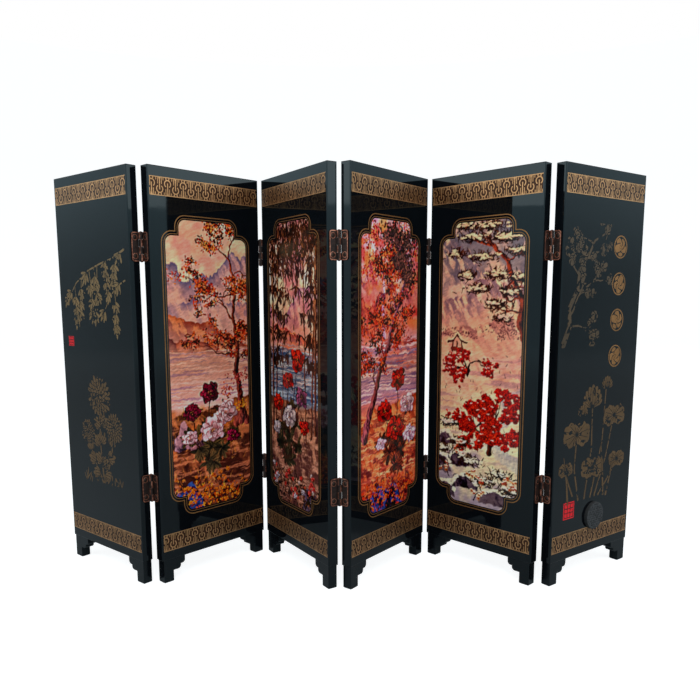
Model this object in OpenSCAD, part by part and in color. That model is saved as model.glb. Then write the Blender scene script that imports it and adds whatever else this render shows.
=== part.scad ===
// Six-panel folding table screen: lacquered boards on carved bracket feet, joined at every fold
// by two small butt hinges, so each fold closes face to face and opens out flat.
// X runs along the row of panels, Y goes back from the picture side, Z is up.
// The origin lies on the floor, under the middle of the screen's bounding box.

/* [Panels] */
// Width of one panel, from edge to edge
panel_w = 77.6; // [50:0.2:120]
// Height of the whole screen, feet included
screen_h = 240; // [170:1:360]
// Thickness of a panel's board
board_t = 6.5; // [6:0.1:9]
// Rounding of the board's edges
board_edge_r = 0.5; // [0.4:0.1:1.0]

/* [Folds] */
// Turn of the first panel away from the row's direction
first_turn = -37; // [-60:0.5:-10]
// Angle between panels 1 and 2, standing forward
fold_1_angle = 93.5; // [60:0.5:150]
// Angle between panels 2 and 3, set back
fold_2_angle = 76.5; // [60:0.5:150]
// Angle between panels 3 and 4, standing forward
fold_3_angle = 72; // [60:0.5:150]
// Angle between panels 4 and 5, set back
fold_4_angle = 83; // [60:0.5:150]
// Angle between panels 5 and 6, standing forward
fold_5_angle = 98; // [60:0.5:150]

/* [Bracket feet] */
// Height of a foot
foot_h = 14; // [10:0.5:24]
// Distance from the panel's edge to the foot's outer side
foot_end_inset = 1; // [0.3:0.1:2]
// Distance from the board's face to the foot's face
foot_face_inset = 0.4; // [0.2:0.1:1]
// Width of the straight leg
leg_w = 6.5; // [4:0.1:9]
// Width of the lower lobe of the bracket, leg included
lower_lobe_w = 11.6; // [9.5:0.1:13.4]
// Height of the lower lobe
lower_lobe_h = 2.8; // [2.2:0.1:4]
// Width of the upper lobe of the bracket, leg included
upper_lobe_w = 14.6; // [13.8:0.1:20]
// Height of the upper lobe
upper_lobe_h = 4.4; // [2.4:0.1:6]
// Radius of both lobes' lower corners
lobe_r = 2; // [0.5:0.1:2.1]
// Chamfer round the foot's sole
sole_chamfer = 0.5; // [0.2:0.1:1]

/* [Hinges] */
// Height of a hinge
hinge_h = 16; // [14:0.5:24]
// Distance from the board's top or bottom edge to the middle of the hinge
hinge_inset = 44; // [20:0.5:70]
// Thickness of the hinge's sheet metal
leaf_t = 0.5; // [0.4:0.05:0.6]
// Outer radius of the rolled knuckles, half the gap between two boards
knuckle_r = 1.2; // [1.1:0.05:1.6]
// Distance from the board's face to the middle of the barrel, outside the board
barrel_off = 0.4; // [0.4:0.05:0.8]
// Gap between two knuckles, along the barrel
knuckle_gap = 0.15; // [0.1:0.05:0.4]
// Distance between a leaf's free edge and the board's face
leaf_margin = 1.3; // [1:0.1:1.5]
// Radius of a leaf's free corners
leaf_corner_r = 1.5; // [0.5:0.1:1.6]
// Width of the pressed rim along a leaf's edges
rim_w = 0.5; // [0.3:0.05:0.55]
// Height of the rim above the leaf
rim_h = 0.15; // [0.1:0.05:0.2]
// Seam where the rolled knuckle meets its leaf
knuckle_seam = 0.12; // [0.08:0.02:0.2]

/* [Hinge pins] */
// Radial clearance of the pin in the knuckles
pin_clearance = 0.05; // [0.03:0.01:0.08]
// How far the pin's domed heads stand out past the pin
pin_head_lip = 0.3; // [0.2:0.05:0.4]
// Height of a pin's head
pin_head_h = 0.4; // [0.3:0.1:0.6]
// Gap between a pin's head and the barrel
pin_head_gap = 0.1; // [0.05:0.05:0.3]

/* [Hinge screws] */
// Distance between a leaf's two screws
screw_spacing = 10.2; // [8:0.1:10.4]
// Distance from the barrel's axis to the screws
screw_reach = 3.5; // [3.4:0.05:3.6]
// Radius of the screw's shank
screw_r = 0.75; // [0.6:0.05:0.9]
// Length of the shank below the leaf
screw_l = 6; // [4:0.5:9]
// Radius of the screw's head
screw_head_r = 1.25; // [1.15:0.05:1.3]
// Height of the screw's head
screw_head_h = 0.4; // [0.3:0.05:0.5]
// Width of the slots of the head's cross
cross_slot_w = 0.3; // [0.2:0.05:0.4]

/* [Round pad] */
// Radius of the pad on the last panel
pad_r = 8.4; // [6:0.1:14]
// Thickness of the pad
pad_t = 2; // [1.5:0.1:4]
// Distance from the panel's left edge to the pad's centre
pad_x = 39.9; // [20:0.1:56]
// Height of the pad's centre above the floor
pad_z = 36.4; // [30:0.1:60]
// Rounding of the pad's front edge
pad_edge_r = 0.6; // [0.2:0.1:1.2]
// Radius of the pits in the pad's face
pit_r = 0.4; // [0.2:0.05:0.5]
// Depth of the pits
pit_depth = 0.3; // [0.1:0.05:0.5]
// Distance between neighbouring pits
pit_pitch = 1.6; // [1.4:0.1:3]

/* [Hidden] */
$fn = 48;
panel_count = 6;
fold_count = panel_count - 1;
fold_angles = [fold_1_angle, fold_2_angle, fold_3_angle, fold_4_angle, fold_5_angle];
sides = ["left", "right"];
levels = ["lower", "upper"];
flat_angle = 180;

board_h = screen_h - foot_h;
hinge_z = [foot_h + hinge_inset, screen_h - hinge_inset];
foot_t = board_t - 2 * foot_face_inset;

knuckle_count = 4;
knuckle_pitch = (hinge_h + knuckle_gap) / knuckle_count;
knuckle_h = knuckle_pitch - knuckle_gap;
knuckle_bore_r = knuckle_r - leaf_t;
seam_lead = 5;
seam_angle = acos(knuckle_bore_r / knuckle_r) + seam_lead;
leaf_reach = board_t + barrel_off - leaf_margin;
notch_clearance = 0.1;
notch_y = sqrt(pow(knuckle_r + notch_clearance, 2) - pow(knuckle_bore_r, 2));
leaf_face_x = knuckle_r - leaf_t;
least_corner_r = 0.2;

pin_r = knuckle_bore_r - pin_clearance;
pin_head_r = pin_r + pin_head_lip;
screw_clearance = 0.05;
leaf_clearance = 0.1;
leaf_hole_r = screw_r + leaf_clearance;
pilot_r = screw_r + screw_clearance;
pilot_depth = screw_l + 0.5;
screw_tip_l = 1.5;
screw_tip_r = 0.15;
cross_share = 0.8;
cross_l = cross_share * 2 * screw_head_r;
cross_depth = screw_head_h / 2;
seat_r = screw_head_r + leaf_clearance;
ring_w = 0.3;
cut = 0.5;

// The plan: folds 1, 3 and 5 stand forward and carry their barrels behind the boards.
function turned(p, a) = [p.x * cos(a) - p.y * sin(a), p.x * sin(a) + p.y * cos(a)];
function forward(j) = j % 2 == 1;
function barrel_y(j) = forward(j) ? board_t + barrel_off : -barrel_off;
function fold_step(j) = (forward(j) ? 1 : -1) * (flat_angle - fold_angles[j - 1]);
function turn(k) = k == 1 ? first_turn : turn(k - 1) + fold_step(k - 1);
function corner(k) = k == 1 ? [0, 0] : fold(k - 1) - turned([-knuckle_r, barrel_y(k - 1)], turn(k));
function fold(j) = corner(j) + turned([panel_w + knuckle_r, barrel_y(j)], turn(j));

// Circles that the plan's outline touches, as x, y and radius: the boards' rounded corners,
// the hinge barrels and the ends of the pad.
board_rounds = [
    for (k = [1 : panel_count])
        for (x = [board_edge_r, panel_w - board_edge_r])
            for (y = [board_edge_r, board_t - board_edge_r])
                concat(corner(k) + turned([x, y], turn(k)), board_edge_r)
];
barrel_rounds = [for (j = [1 : fold_count]) concat(fold(j), knuckle_r)];
pad_rounds = [
    for (x = [pad_x - pad_r, pad_x + pad_r])
        concat(corner(panel_count) + turned([x, -pad_t], turn(panel_count)), 0)
];
plan_rounds = concat(board_rounds, barrel_rounds, pad_rounds);
plan_mid = [
    for (i = [0, 1])
        (min([for (c = plan_rounds) c[i] - c.z]) + max([for (c = plan_rounds) c[i] + c.z])) / 2
];

function board_node(k) = str("panel_", k, "_board");
function foot_node(k, side) = str("panel_", k, "_", sides[side], "_foot");
function leaf_node(j, level, side) = str("fold_", j, "_", levels[level], "_hinge_", sides[side], "_leaf");
function pin_node(j, level) = str("fold_", j, "_", levels[level], "_hinge_pin");
function screws_node(j, side) = str("fold_", j, "_", sides[side], "_hinge_screws");
pad_node = "round_pad";

// Puts a child from a panel's own frame, front left corner at the origin, into the screen.
module on_panel(k) {
    translate([corner(k).x - plan_mid.x, corner(k).y - plan_mid.y, 0]) rotate(turn(k)) children();
}

// Puts a child from a hinge leaf's frame into its panel's frame. In the leaf's frame the barrel
// is the Z axis, the board begins at x = knuckle_r and its thickness runs along +Y.
// Side 0 is the panel left of the fold, side 1 the panel right of it.
module at_hinge(j, level, side) {
    translate([side == 1 ? -knuckle_r : panel_w + knuckle_r, barrel_y(j), hinge_z[level]])
        mirror([side == 1 ? 0 : 1, 0, 0])
            mirror([0, forward(j) ? 1 : 0, 0])
                children();
}

module at_screws() {
    for (z = [-screw_spacing / 2, screw_spacing / 2])
        translate([0, screw_reach, z]) children();
}

module rounded_square(w, h, r) {
    translate([r, 0]) square([w - 2 * r, h]);
    translate([0, r]) square([w, h - 2 * r]);
    for (x = [r, w - r])
        for (y = [r, h - r])
            translate([x, y]) circle(r);
}

// A block with every edge rounded: the overlap of three bars with rounded sections.
module rounded_block(w, t, h, r) {
    intersection() {
        linear_extrude(h) rounded_square(w, t, r);
        translate([0, t, 0]) rotate([90, 0, 0]) linear_extrude(t) rounded_square(w, h, r);
        rotate([90, 0, 90]) linear_extrude(w) rounded_square(t, h, r);
    }
}

module pilot_holes(j, side) {
    for (level = [0, 1])
        at_hinge(j, level, side) at_screws()
            translate([knuckle_r - cut, 0, 0]) rotate([0, 90, 0]) cylinder(r = pilot_r, h = pilot_depth + cut);
}

module board(k) {
    color("#20282a") on_panel(k) difference() {
        translate([0, 0, foot_h]) rounded_block(panel_w, board_t, board_h, board_edge_r);
        if (k > 1) pilot_holes(k - 1, 1);
        if (k < panel_count) pilot_holes(k, 0);
    }
}

// One step of the bracket: a block whose free lower corner is rounded.
module lobe(w, z, h) {
    translate([0, z + lobe_r]) square([w, h - lobe_r]);
    translate([0, z]) square([w - lobe_r, h]);
    translate([w - lobe_r, z + lobe_r]) circle(lobe_r);
}

module foot_outline() {
    polygon([
        [sole_chamfer, 0], [leg_w - sole_chamfer, 0], [leg_w, sole_chamfer],
        [leg_w, foot_h], [0, foot_h], [0, sole_chamfer]
    ]);
    lobe(lower_lobe_w, foot_h - upper_lobe_h - lower_lobe_h, lower_lobe_h + lobe_r);
    lobe(upper_lobe_w, foot_h - upper_lobe_h, upper_lobe_h);
}

module foot_section() {
    polygon([
        [sole_chamfer, 0], [foot_t - sole_chamfer, 0], [foot_t, sole_chamfer],
        [foot_t, foot_h], [0, foot_h], [0, sole_chamfer]
    ]);
}

module foot(k, side) {
    color("#1a2022") on_panel(k)
        translate([side == 0 ? 0 : panel_w, 0, 0]) mirror([side, 0, 0])
            translate([foot_end_inset, foot_face_inset, 0]) intersection() {
                translate([0, foot_t, 0]) rotate([90, 0, 0]) linear_extrude(foot_t) foot_outline();
                rotate([90, 0, 90]) linear_extrude(upper_lobe_w) foot_section();
            }
}

// The leaf's flat part beyond the barrel, drawn with X away from the barrel and Y up.
module leaf_flat(inset) {
    r = max(leaf_corner_r - inset, least_corner_r);
    reach = leaf_reach - inset;
    half_h = hinge_h / 2 - inset;
    translate([notch_y, -half_h]) square([reach - r - notch_y, 2 * half_h]);
    translate([notch_y, r - half_h]) square([reach - notch_y, 2 * (half_h - r)]);
    for (y = [r - half_h, half_h - r])
        translate([reach - r, y]) circle(r);
}

module screw_circles(r) {
    for (y = [-screw_spacing / 2, screw_spacing / 2])
        translate([screw_reach, y]) circle(r);
}

// The pressed rim along the edges, with a ring round each screw.
module leaf_rim() {
    difference() {
        leaf_flat(0);
        difference() {
            leaf_flat(rim_w);
            screw_circles(seat_r + ring_w);
        }
        screw_circles(seat_r);
    }
}

// Knuckles are counted from the top. Even ones belong to the left leaf, odd ones to the right.
module own_knuckles(side) {
    for (i = [side : 2 : knuckle_count - 1])
        translate([0, 0, hinge_h / 2 - i * knuckle_pitch - knuckle_h]) children();
}

module leaf(side) {
    difference() {
        union() {
            translate([leaf_face_x, 0, 0]) rotate([90, 0, 90]) linear_extrude(leaf_t) leaf_flat(0);
            translate([leaf_face_x - rim_h, 0, 0]) rotate([90, 0, 90])
                linear_extrude(rim_h + leaf_t / 2) leaf_rim();
            own_knuckles(side) {
                cylinder(r = knuckle_r, h = knuckle_h);
                translate([leaf_face_x, 0, 0]) cube([leaf_t, notch_y + leaf_t, knuckle_h]);
            }
        }
        translate([0, 0, -hinge_h]) cylinder(r = knuckle_bore_r, h = 2 * hinge_h);
        rotate(seam_angle) translate([knuckle_bore_r - leaf_t, -knuckle_seam / 2, -hinge_h])
            cube([3 * leaf_t, knuckle_seam, 2 * hinge_h]);
        at_screws() rotate([0, 90, 0]) cylinder(r = leaf_hole_r, h = 2 * knuckle_r);
    }
}

module hinge_leaf(j, level, side) {
    color("#8a5140") on_panel(j + side) at_hinge(j, level, side) leaf(side);
}

// A shallow dome on the XY plane, as wide as its foot circle.
module dome(r, h) {
    ball_r = (r * r + h * h) / (2 * h);
    intersection() {
        translate([0, 0, h - ball_r]) sphere(ball_r);
        cylinder(r = r, h = h);
    }
}

module hinge_pin(j, level) {
    end_z = hinge_h / 2 + pin_head_gap;
    color("#6b4338") on_panel(j) at_hinge(j, level, 0) {
        translate([0, 0, -end_z]) cylinder(r = pin_r, h = 2 * end_z);
        for (up = [0, 1]) mirror([0, 0, 1 - up])
            translate([0, 0, end_z]) dome(pin_head_r, pin_head_h);
    }
}

module screw() {
    shank_l = leaf_t + screw_l - screw_tip_l;
    translate([leaf_face_x, 0, 0]) rotate([0, 90, 0]) {
        cylinder(r = screw_r, h = shank_l);
        translate([0, 0, shank_l]) cylinder(r1 = screw_r, r2 = screw_tip_r, h = screw_tip_l);
        rotate([180, 0, 0]) difference() {
            dome(screw_head_r, screw_head_h);
            for (a = [0, 90]) rotate(a)
                translate([-cross_l / 2, -cross_slot_w / 2, screw_head_h - cross_depth])
                    cube([cross_l, cross_slot_w, screw_head_h]);
        }
    }
}

module hinge_screws(j, side) {
    color("#4a3a36") on_panel(j + side)
        for (level = [0, 1]) at_hinge(j, level, side) at_screws() screw();
}

// Pits stand on a triangular grid, as far out as the rounded edge allows.
module pad_pits() {
    row_step = pit_pitch * sin(60);
    rows = ceil(pad_r / row_step);
    pit_limit = pad_r - pad_edge_r - 2 * pit_r;
    for (row = [-rows : rows])
        for (col = [-rows : rows]) {
            p = [(col + (row % 2 == 0 ? 0 : 0.5)) * pit_pitch, row * row_step];
            if (norm(p) < pit_limit)
                translate([p.x, p.y, pad_t - pit_depth]) cylinder(r = pit_r, h = pit_depth + cut, $fn = 24);
        }
}

module round_pad() {
    color("#33363a") on_panel(panel_count) translate([pad_x, 0, pad_z]) rotate([90, 0, 0])
        difference() {
            rotate_extrude() {
                square([pad_r, pad_t - pad_edge_r]);
                square([pad_r - pad_edge_r, pad_t]);
                translate([pad_r - pad_edge_r, pad_t - pad_edge_r]) circle(pad_edge_r);
            }
            pad_pits();
        }
}

for (k = [1 : panel_count])
    board(k);
for (k = [1 : panel_count]) for (side = [0, 1])
    foot(k, side);
for (j = [1 : fold_count]) for (level = [0, 1]) for (side = [0, 1])
    hinge_leaf(j, level, side);
for (j = [1 : fold_count]) for (level = [0, 1])
    hinge_pin(j, level);
for (j = [1 : fold_count]) for (side = [0, 1])
    hinge_screws(j, side);
round_pad();
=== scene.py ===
# %% [markdown]
# # A six-panel table screen in black lacquer
# The screen stands on a pale floor in a zigzag. Its boards, feet, hinges, pins and screws come from the
# packed model and stay where they are: here they get their finishes. Everything that is printed on the
# boards is new: fret bands, double window lines, four painted pictures, gold drawings on the two end panels
# and two red squares. Each of these is a thin closed sheet of real size that lies on a board's face and
# moves with its panel.

# %% Load the packed model
import math

import bpy
import numpy as np
from mathutils import Matrix, Vector


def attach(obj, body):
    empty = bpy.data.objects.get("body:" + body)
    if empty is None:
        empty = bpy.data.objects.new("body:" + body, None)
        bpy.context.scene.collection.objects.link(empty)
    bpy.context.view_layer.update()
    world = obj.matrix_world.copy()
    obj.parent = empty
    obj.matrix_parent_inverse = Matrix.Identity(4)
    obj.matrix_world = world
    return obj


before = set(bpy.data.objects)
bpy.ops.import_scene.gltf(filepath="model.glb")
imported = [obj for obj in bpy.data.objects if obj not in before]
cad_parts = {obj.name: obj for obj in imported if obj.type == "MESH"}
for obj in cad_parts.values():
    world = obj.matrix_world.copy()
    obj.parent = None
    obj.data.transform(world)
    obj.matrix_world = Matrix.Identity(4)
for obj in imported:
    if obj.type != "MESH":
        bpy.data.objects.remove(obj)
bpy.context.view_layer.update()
MM = 0.001
SKYWARD = math.pi / 2
PANELS = range(1, 7)
FOLDS = range(1, 6)

# %% [markdown]
# ## A frame for each panel
# A print is easiest to draw on a panel that faces us, in millimetres from the panel's lower left corner.
# Each panel stands at its own angle, so each gets a matrix that carries such a drawing to its place. The
# angle could be typed in, but it is read from the board itself: the board's largest face tells which way it
# looks, and its corners tell where the face starts. So the prints follow the model if a fold angle changes.


# %% Read each panel's place from its board
def panel_frame(number):
    """x runs along the face from its left edge, y from the face to the back, z up from the floor."""
    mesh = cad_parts[f"panel_{number}_board"].data
    upright = [p for p in mesh.polygons if abs(p.normal.z) < 0.01]
    outward = max(upright, key=lambda p: p.area).normal.copy()
    outward.z = 0
    outward.normalize()
    if outward.y > 0:
        outward = -outward
    along = Vector((-outward.y, outward.x, 0))
    corners = [v.co for v in mesh.vertices]
    origin = along * min(c.dot(along) for c in corners) + outward * max(c.dot(outward) for c in corners)
    place = Matrix.Identity(4)
    for row in range(3):
        place[row][:] = along[row], -outward[row], float(row == 2), origin[row]
    return place


panel_at = {k: panel_frame(k) for k in PANELS}
for k in PANELS:
    turn = math.degrees(math.atan2(panel_at[k][1][0], panel_at[k][0][0]))
    print(f"panel {k} is turned {turn:.2f} degrees")

# %% [markdown]
# ## Camera
# The eye is a little above the middle of the screen and 40 cm in front of it. Its place and angles come
# from a camera fitted to the edges of the boards, and so do the focal length and the centre, which are in
# pixels. The picture was cropped off centre when it was taken, and a small lens shift gives the same
# framing. A longer lens from further away would flatten the zigzag.

# %% Set up the camera
PICTURE = 700
FOCAL = 689.63
CENTRE = (342.98, 397.46)
EYE = Vector((0.018463, -0.412231, 0.16792))
YAW, PITCH, ROLL = -0.049, 0.144, -0.002

camera = bpy.data.objects.new("camera", bpy.data.cameras.new("camera"))
bpy.context.scene.collection.objects.link(camera)
bpy.context.scene.camera = camera
ahead = Vector((math.sin(YAW) * math.cos(PITCH), math.cos(YAW) * math.cos(PITCH), -math.sin(PITCH)))
sideways = Vector((math.cos(YAW), -math.sin(YAW), 0))
right = sideways * math.cos(ROLL) + sideways.cross(ahead) * math.sin(ROLL)
above = right.cross(ahead)
camera.matrix_world = Matrix.Translation(EYE) @ Matrix((right, above, -ahead)).transposed().to_4x4()
camera.data.lens = FOCAL / PICTURE * camera.data.sensor_width
camera.data.shift_x = (PICTURE / 2 - CENTRE[0]) / PICTURE
camera.data.shift_y = (CENTRE[1] - PICTURE / 2) / PICTURE
camera.data.clip_start = 0.01
print("lens", round(camera.data.lens, 2), "mm")

# %% [markdown]
# ## Shader arithmetic
# A finish is a small sum: a bit of noise here, more shine there. Written as nodes it takes a page, so one
# class wraps a socket and turns `1 - mask * 0.4` into Math nodes. Every other node comes from one method
# that takes the node's type, its settings and what goes into its sockets.


# %% A socket that can be added and multiplied
def feed(tree, socket, value):
    """Links a wire to a socket, or sets the socket's own value."""
    if isinstance(value, Wire):
        tree.links.new(value.socket, socket)
    elif hasattr(value, "__len__") and socket.type == "RGBA":
        socket.default_value = (*value, 1)[:4]
    else:
        socket.default_value = value


class Wire:
    """A socket of a finish. Sums on it add Math nodes."""

    def __init__(self, tree, socket):
        self.tree = tree
        self.socket = socket

    def maths(self, operation, *values, clamp=False):
        node = self.tree.nodes.new("ShaderNodeMath")
        node.operation = operation
        node.use_clamp = clamp
        for socket, value in zip(node.inputs, values, strict=False):
            feed(self.tree, socket, value)
        return Wire(self.tree, node.outputs[0])

    def __add__(self, other):
        return self.maths("ADD", self, other)

    __radd__ = __add__

    def __sub__(self, other):
        return self.maths("SUBTRACT", self, other)

    def __rsub__(self, other):
        return self.maths("SUBTRACT", other, self)

    def __mul__(self, other):
        return self.maths("MULTIPLY", self, other)

    __rmul__ = __mul__

    def eased(self, low, high):
        """0 below low, 1 above high, with a soft step between. low may be above high."""
        if low > high:
            return 1 - self.eased(high, low)
        t = self.maths("MULTIPLY", self - low, 1 / (high - low), clamp=True)
        return t * t * (3 - 2 * t)


class Finish:
    """A material under construction. Its nodes are made by node(), and done() ends it."""

    def __init__(self, name):
        self.material = bpy.data.materials.new(name)
        self.material.use_nodes = True
        self.tree = self.material.node_tree
        self.shader = self.tree.nodes["Principled BSDF"]
        self.here = self.node("TexCoord", output="Object")

    def node(self, kind, settings=None, values=None, output=0):
        """One node: its settings first, then the values or wires of its sockets."""
        made = self.tree.nodes.new("ShaderNode" + kind)
        for name, setting in (settings or {}).items():
            setattr(made, name, setting)
        for socket, value in (values or {}).items():
            feed(self.tree, made.inputs[socket], value)
        return Wire(self.tree, made.outputs[output])

    def noise(self, size, detail=3.0):
        """Soft noise between 0 and 1 with patches of the given size in metres."""
        return self.node("TexNoise", {}, {"Vector": self.here, "Scale": 1 / size, "Detail": detail})

    def blend(self, share, first, second):
        """A colour between two, by a share from 0 to 1."""
        return self.node("Mix", {"data_type": "RGBA"}, {0: share, 6: first, 7: second}, output=2)

    def bump(self, height, depth):
        """Raises the surface by height, from 0 to 1, times depth in metres."""
        return self.node("Bump", {}, {"Height": height, "Distance": depth, "Strength": 1.0})

    def done(self, **values):
        """Feeds the shader. Base_Color stands for the socket Base Color, and so on."""
        for name, value in values.items():
            feed(self.tree, self.shader.inputs[name.replace("_", " ")], value)
        return self.material


def dress(names, material):
    """Gives the finish to nodes of the packed model, in the slots that they have."""
    for name in names:
        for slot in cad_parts[name].material_slots:
            slot.material = material


print("a finish has:", ", ".join(name for name in vars(Finish) if not name.startswith("_")))

# %% [markdown]
# ## Studio
# Black lacquer shows its surroundings more than itself, so the room is half of the finish. It is a paper
# cove: a pale floor that curves up into a low round wall. The eye and clear glass see it lifted to white,
# and it still takes the shadow of the screen. Mirrors alone see a painted glow on it: a little on the floor
# in front and far off, and on the wall more the higher it goes. This painted reflection gives the boards
# their slow gradient from slate at the top to near black below. Over the wall is the world: white where it
# is seen, and softer in the light that it sheds.

# %% Build the cove, the world and the lamps
COVE_SIDES = 96
FLAT, REACH, RISE = 2.4, 3.2, 1.3
ALBEDO = 0.50
SHED = 0.46
LIFT_SEEN = 0.82
COOL = (0.66, 0.90, 1.0)
PAPER = (0.86, 0.98, 1.04)
LIT_SPOT = Vector((0, 0, 0.12))


def lathe(name, profile, sides):
    """An open surface turned round Z from a profile of (radius, height) that starts at the axis."""
    angles = np.linspace(0, 2 * math.pi, sides, endpoint=False)
    corners = [(0.0, 0.0, profile[0][1])]
    corners += [(r * math.cos(a), r * math.sin(a), z) for r, z in profile[1:] for a in angles]
    faces = [(0, 1 + i, 1 + (i + 1) % sides) for i in range(sides)]
    for ring in range(len(profile) - 2):
        low, high = 1 + ring * sides, 1 + (ring + 1) * sides
        faces += [(low + i, high + i, high + (i + 1) % sides, low + (i + 1) % sides) for i in range(sides)]
    mesh = bpy.data.meshes.new(name)
    mesh.from_pydata(corners, [], faces)
    mesh.shade_smooth()
    made = bpy.data.objects.new(name, mesh)
    bpy.context.scene.collection.objects.link(made)
    return made


BEND = REACH - FLAT
quarter = np.linspace(0, SKYWARD, 16)
bend = [(FLAT + BEND * math.sin(a), BEND * (1 - math.cos(a))) for a in quarter]
cove = lathe("cove", [(0, 0), (FLAT / 3, 0), *bend, (REACH, RISE)], COVE_SIDES)

paper = Finish("cove_paper")
rays = paper.node("LightPath", output="Is Camera Ray")
mirror_rays = paper.node("LightPath", output="Is Glossy Ray")
glass_rays = paper.node("LightPath", output="Is Transmission Ray")
distance = paper.node("VectorMath", {"operation": "LENGTH"}, {0: paper.here}, output="Value")
rise = paper.node("SeparateXYZ", {}, {0: paper.here}, output="Z")
front = paper.node("SeparateXYZ", {}, {0: paper.here}, output="Y").eased(0.12, -0.35)
# Painted reflection: a glow that only mirrors see, on the floor in front and far off and on the wall more
# the higher it goes.
mirror_lift = (distance.eased(0.8, 2.4) * 0.21 + rise.eased(0.15, 1.05) * 0.85
               + front * (0.22 + distance.eased(0.6, 2.0) * 0.3))
lift = rays.maths("MAXIMUM", rays.maths("MAXIMUM", rays, glass_rays) * LIFT_SEEN, mirror_rays * mirror_lift)
shades = [tuple(ALBEDO * share * part for part in PAPER) for share in (0.98, 1.02)]
tint = paper.blend(paper.noise(0.4), *shades)
cove.data.materials.append(paper.done(
    Base_Color=tint, Roughness=0.9, Specular_IOR_Level=0.0, Emission_Strength=lift,
    Emission_Color=paper.blend(mirror_rays, (1, 1, 1), COOL)))

world = bpy.data.worlds.new("studio")
bpy.context.scene.world = world
world.use_nodes = True
sky = world.node_tree
glow = sky.nodes["Background"]
path = sky.nodes.new("ShaderNodeLightPath")
direct = Wire(sky, path.outputs["Is Camera Ray"])
mirrored = Wire(sky, path.outputs["Is Glossy Ray"])
through = Wire(sky, path.outputs["Is Transmission Ray"])
white = direct.maths("MAXIMUM", direct.maths("MAXIMUM", direct, mirrored), through)
feed(sky, glow.inputs["Strength"], white * (1 - SHED) + SHED)
glow.inputs["Color"].default_value = (1, 1, 1, 1)
bpy.context.scene.view_settings.view_transform = "Standard"


def soft_lamp(name, place, size, power):
    """A rectangle of light that shines on the screen and isn't seen itself."""
    lamp = bpy.data.lights.new(name, "AREA")
    lamp.shape = "RECTANGLE"
    lamp.size, lamp.size_y = size
    lamp.energy = power
    made = bpy.data.objects.new(name, lamp)
    made.location = place
    made.rotation_euler = (LIT_SPOT - Vector(place)).to_track_quat("-Z", "Y").to_euler()
    made.visible_camera = False
    bpy.context.scene.collection.objects.link(made)


soft_lamp("lamp_front", (0.0, -0.95, 1.15), (1.3, 0.6), 10.5)
soft_lamp("lamp_left", (-1.6, -0.55, 0.78), (1.3, 0.7), 4.8)
soft_lamp("lamp_right", (1.6, -0.55, 0.78), (1.3, 0.7), 4.8)
print("cove", 2 * REACH, "m wide, world sheds", SHED)

# %% [markdown]
# ## Black lacquer
# The boards are sprayed with many coats and buffed, so they mirror the room in a skin over a blue-black
# ground. One noise moves the ground colour a little, as a thick coat does, and a second changes the
# roughness where hands have wiped it. A faint wide bump gives the sprayed skin its waviness. The same
# finish serves the feet, which are rougher, because nobody buffs inside a fretted bracket.

# %% Lacquer the boards and the feet
LACQUER_IOR = 1.34
SKIN_TINT = (0.80, 0.97, 1.0, 1.0)


def lacquer(name, smooth_side, rough_side, wave):
    """A lacquer whose roughness goes from smooth_side, where it was wiped least, to rough_side."""
    made = Finish(name)
    ground = made.blend(made.noise(0.03), (0.0022, 0.0030, 0.0044), (0.0034, 0.0044, 0.0062))
    wiped = made.noise(0.045, 5.0).eased(0.42, 0.7)
    skin = made.bump(made.noise(0.006, 2.0), wave)
    return made.done(Base_Color=ground, Roughness=wiped * (rough_side - smooth_side) + smooth_side,
                     Normal=skin, IOR=LACQUER_IOR, Specular_Tint=SKIN_TINT)


board_lacquer = lacquer("board_lacquer", 0.025, 0.06, 0.000004)
foot_lacquer = lacquer("foot_lacquer", 0.12, 0.24, 0.00002)
dress([f"panel_{k}_board" for k in PANELS], board_lacquer)
dress([f"panel_{k}_{side}_foot" for k in PANELS for side in ("left", "right")], foot_lacquer)
print("6 boards and 12 feet lacquered")

# %% [markdown]
# ## Antique copper
# The hinges are pressed copper, chemically darkened and then rubbed, so the raised rims and the rings round
# the screws are bright and the field between them is nearly black. The near half of each knuckle is bright
# too, partly as rubbed wear and partly as a painted highlight where lamps would glint on the barrel. Wear
# could be painted by hand, but height tells it as well. A leaf lies on the end of its board, so its height
# is the distance from that end along the panel, and the barrel is whatever lies within a knuckle's radius
# of the fold's axis.

# %% Copper for the hinges
BOARD_WIDE, BOARD_THICK = 77.6 * MM, 6.5 * MM
FIELD, RIM, BARREL, BARREL_OFF = 0.52 * MM, 0.64 * MM, 1.2 * MM, 0.4 * MM
NEAR_SIDE, FAR_SIDE = (0.65 * MM, 0.95 * MM), (1.95 * MM, 1.65 * MM)


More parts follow.
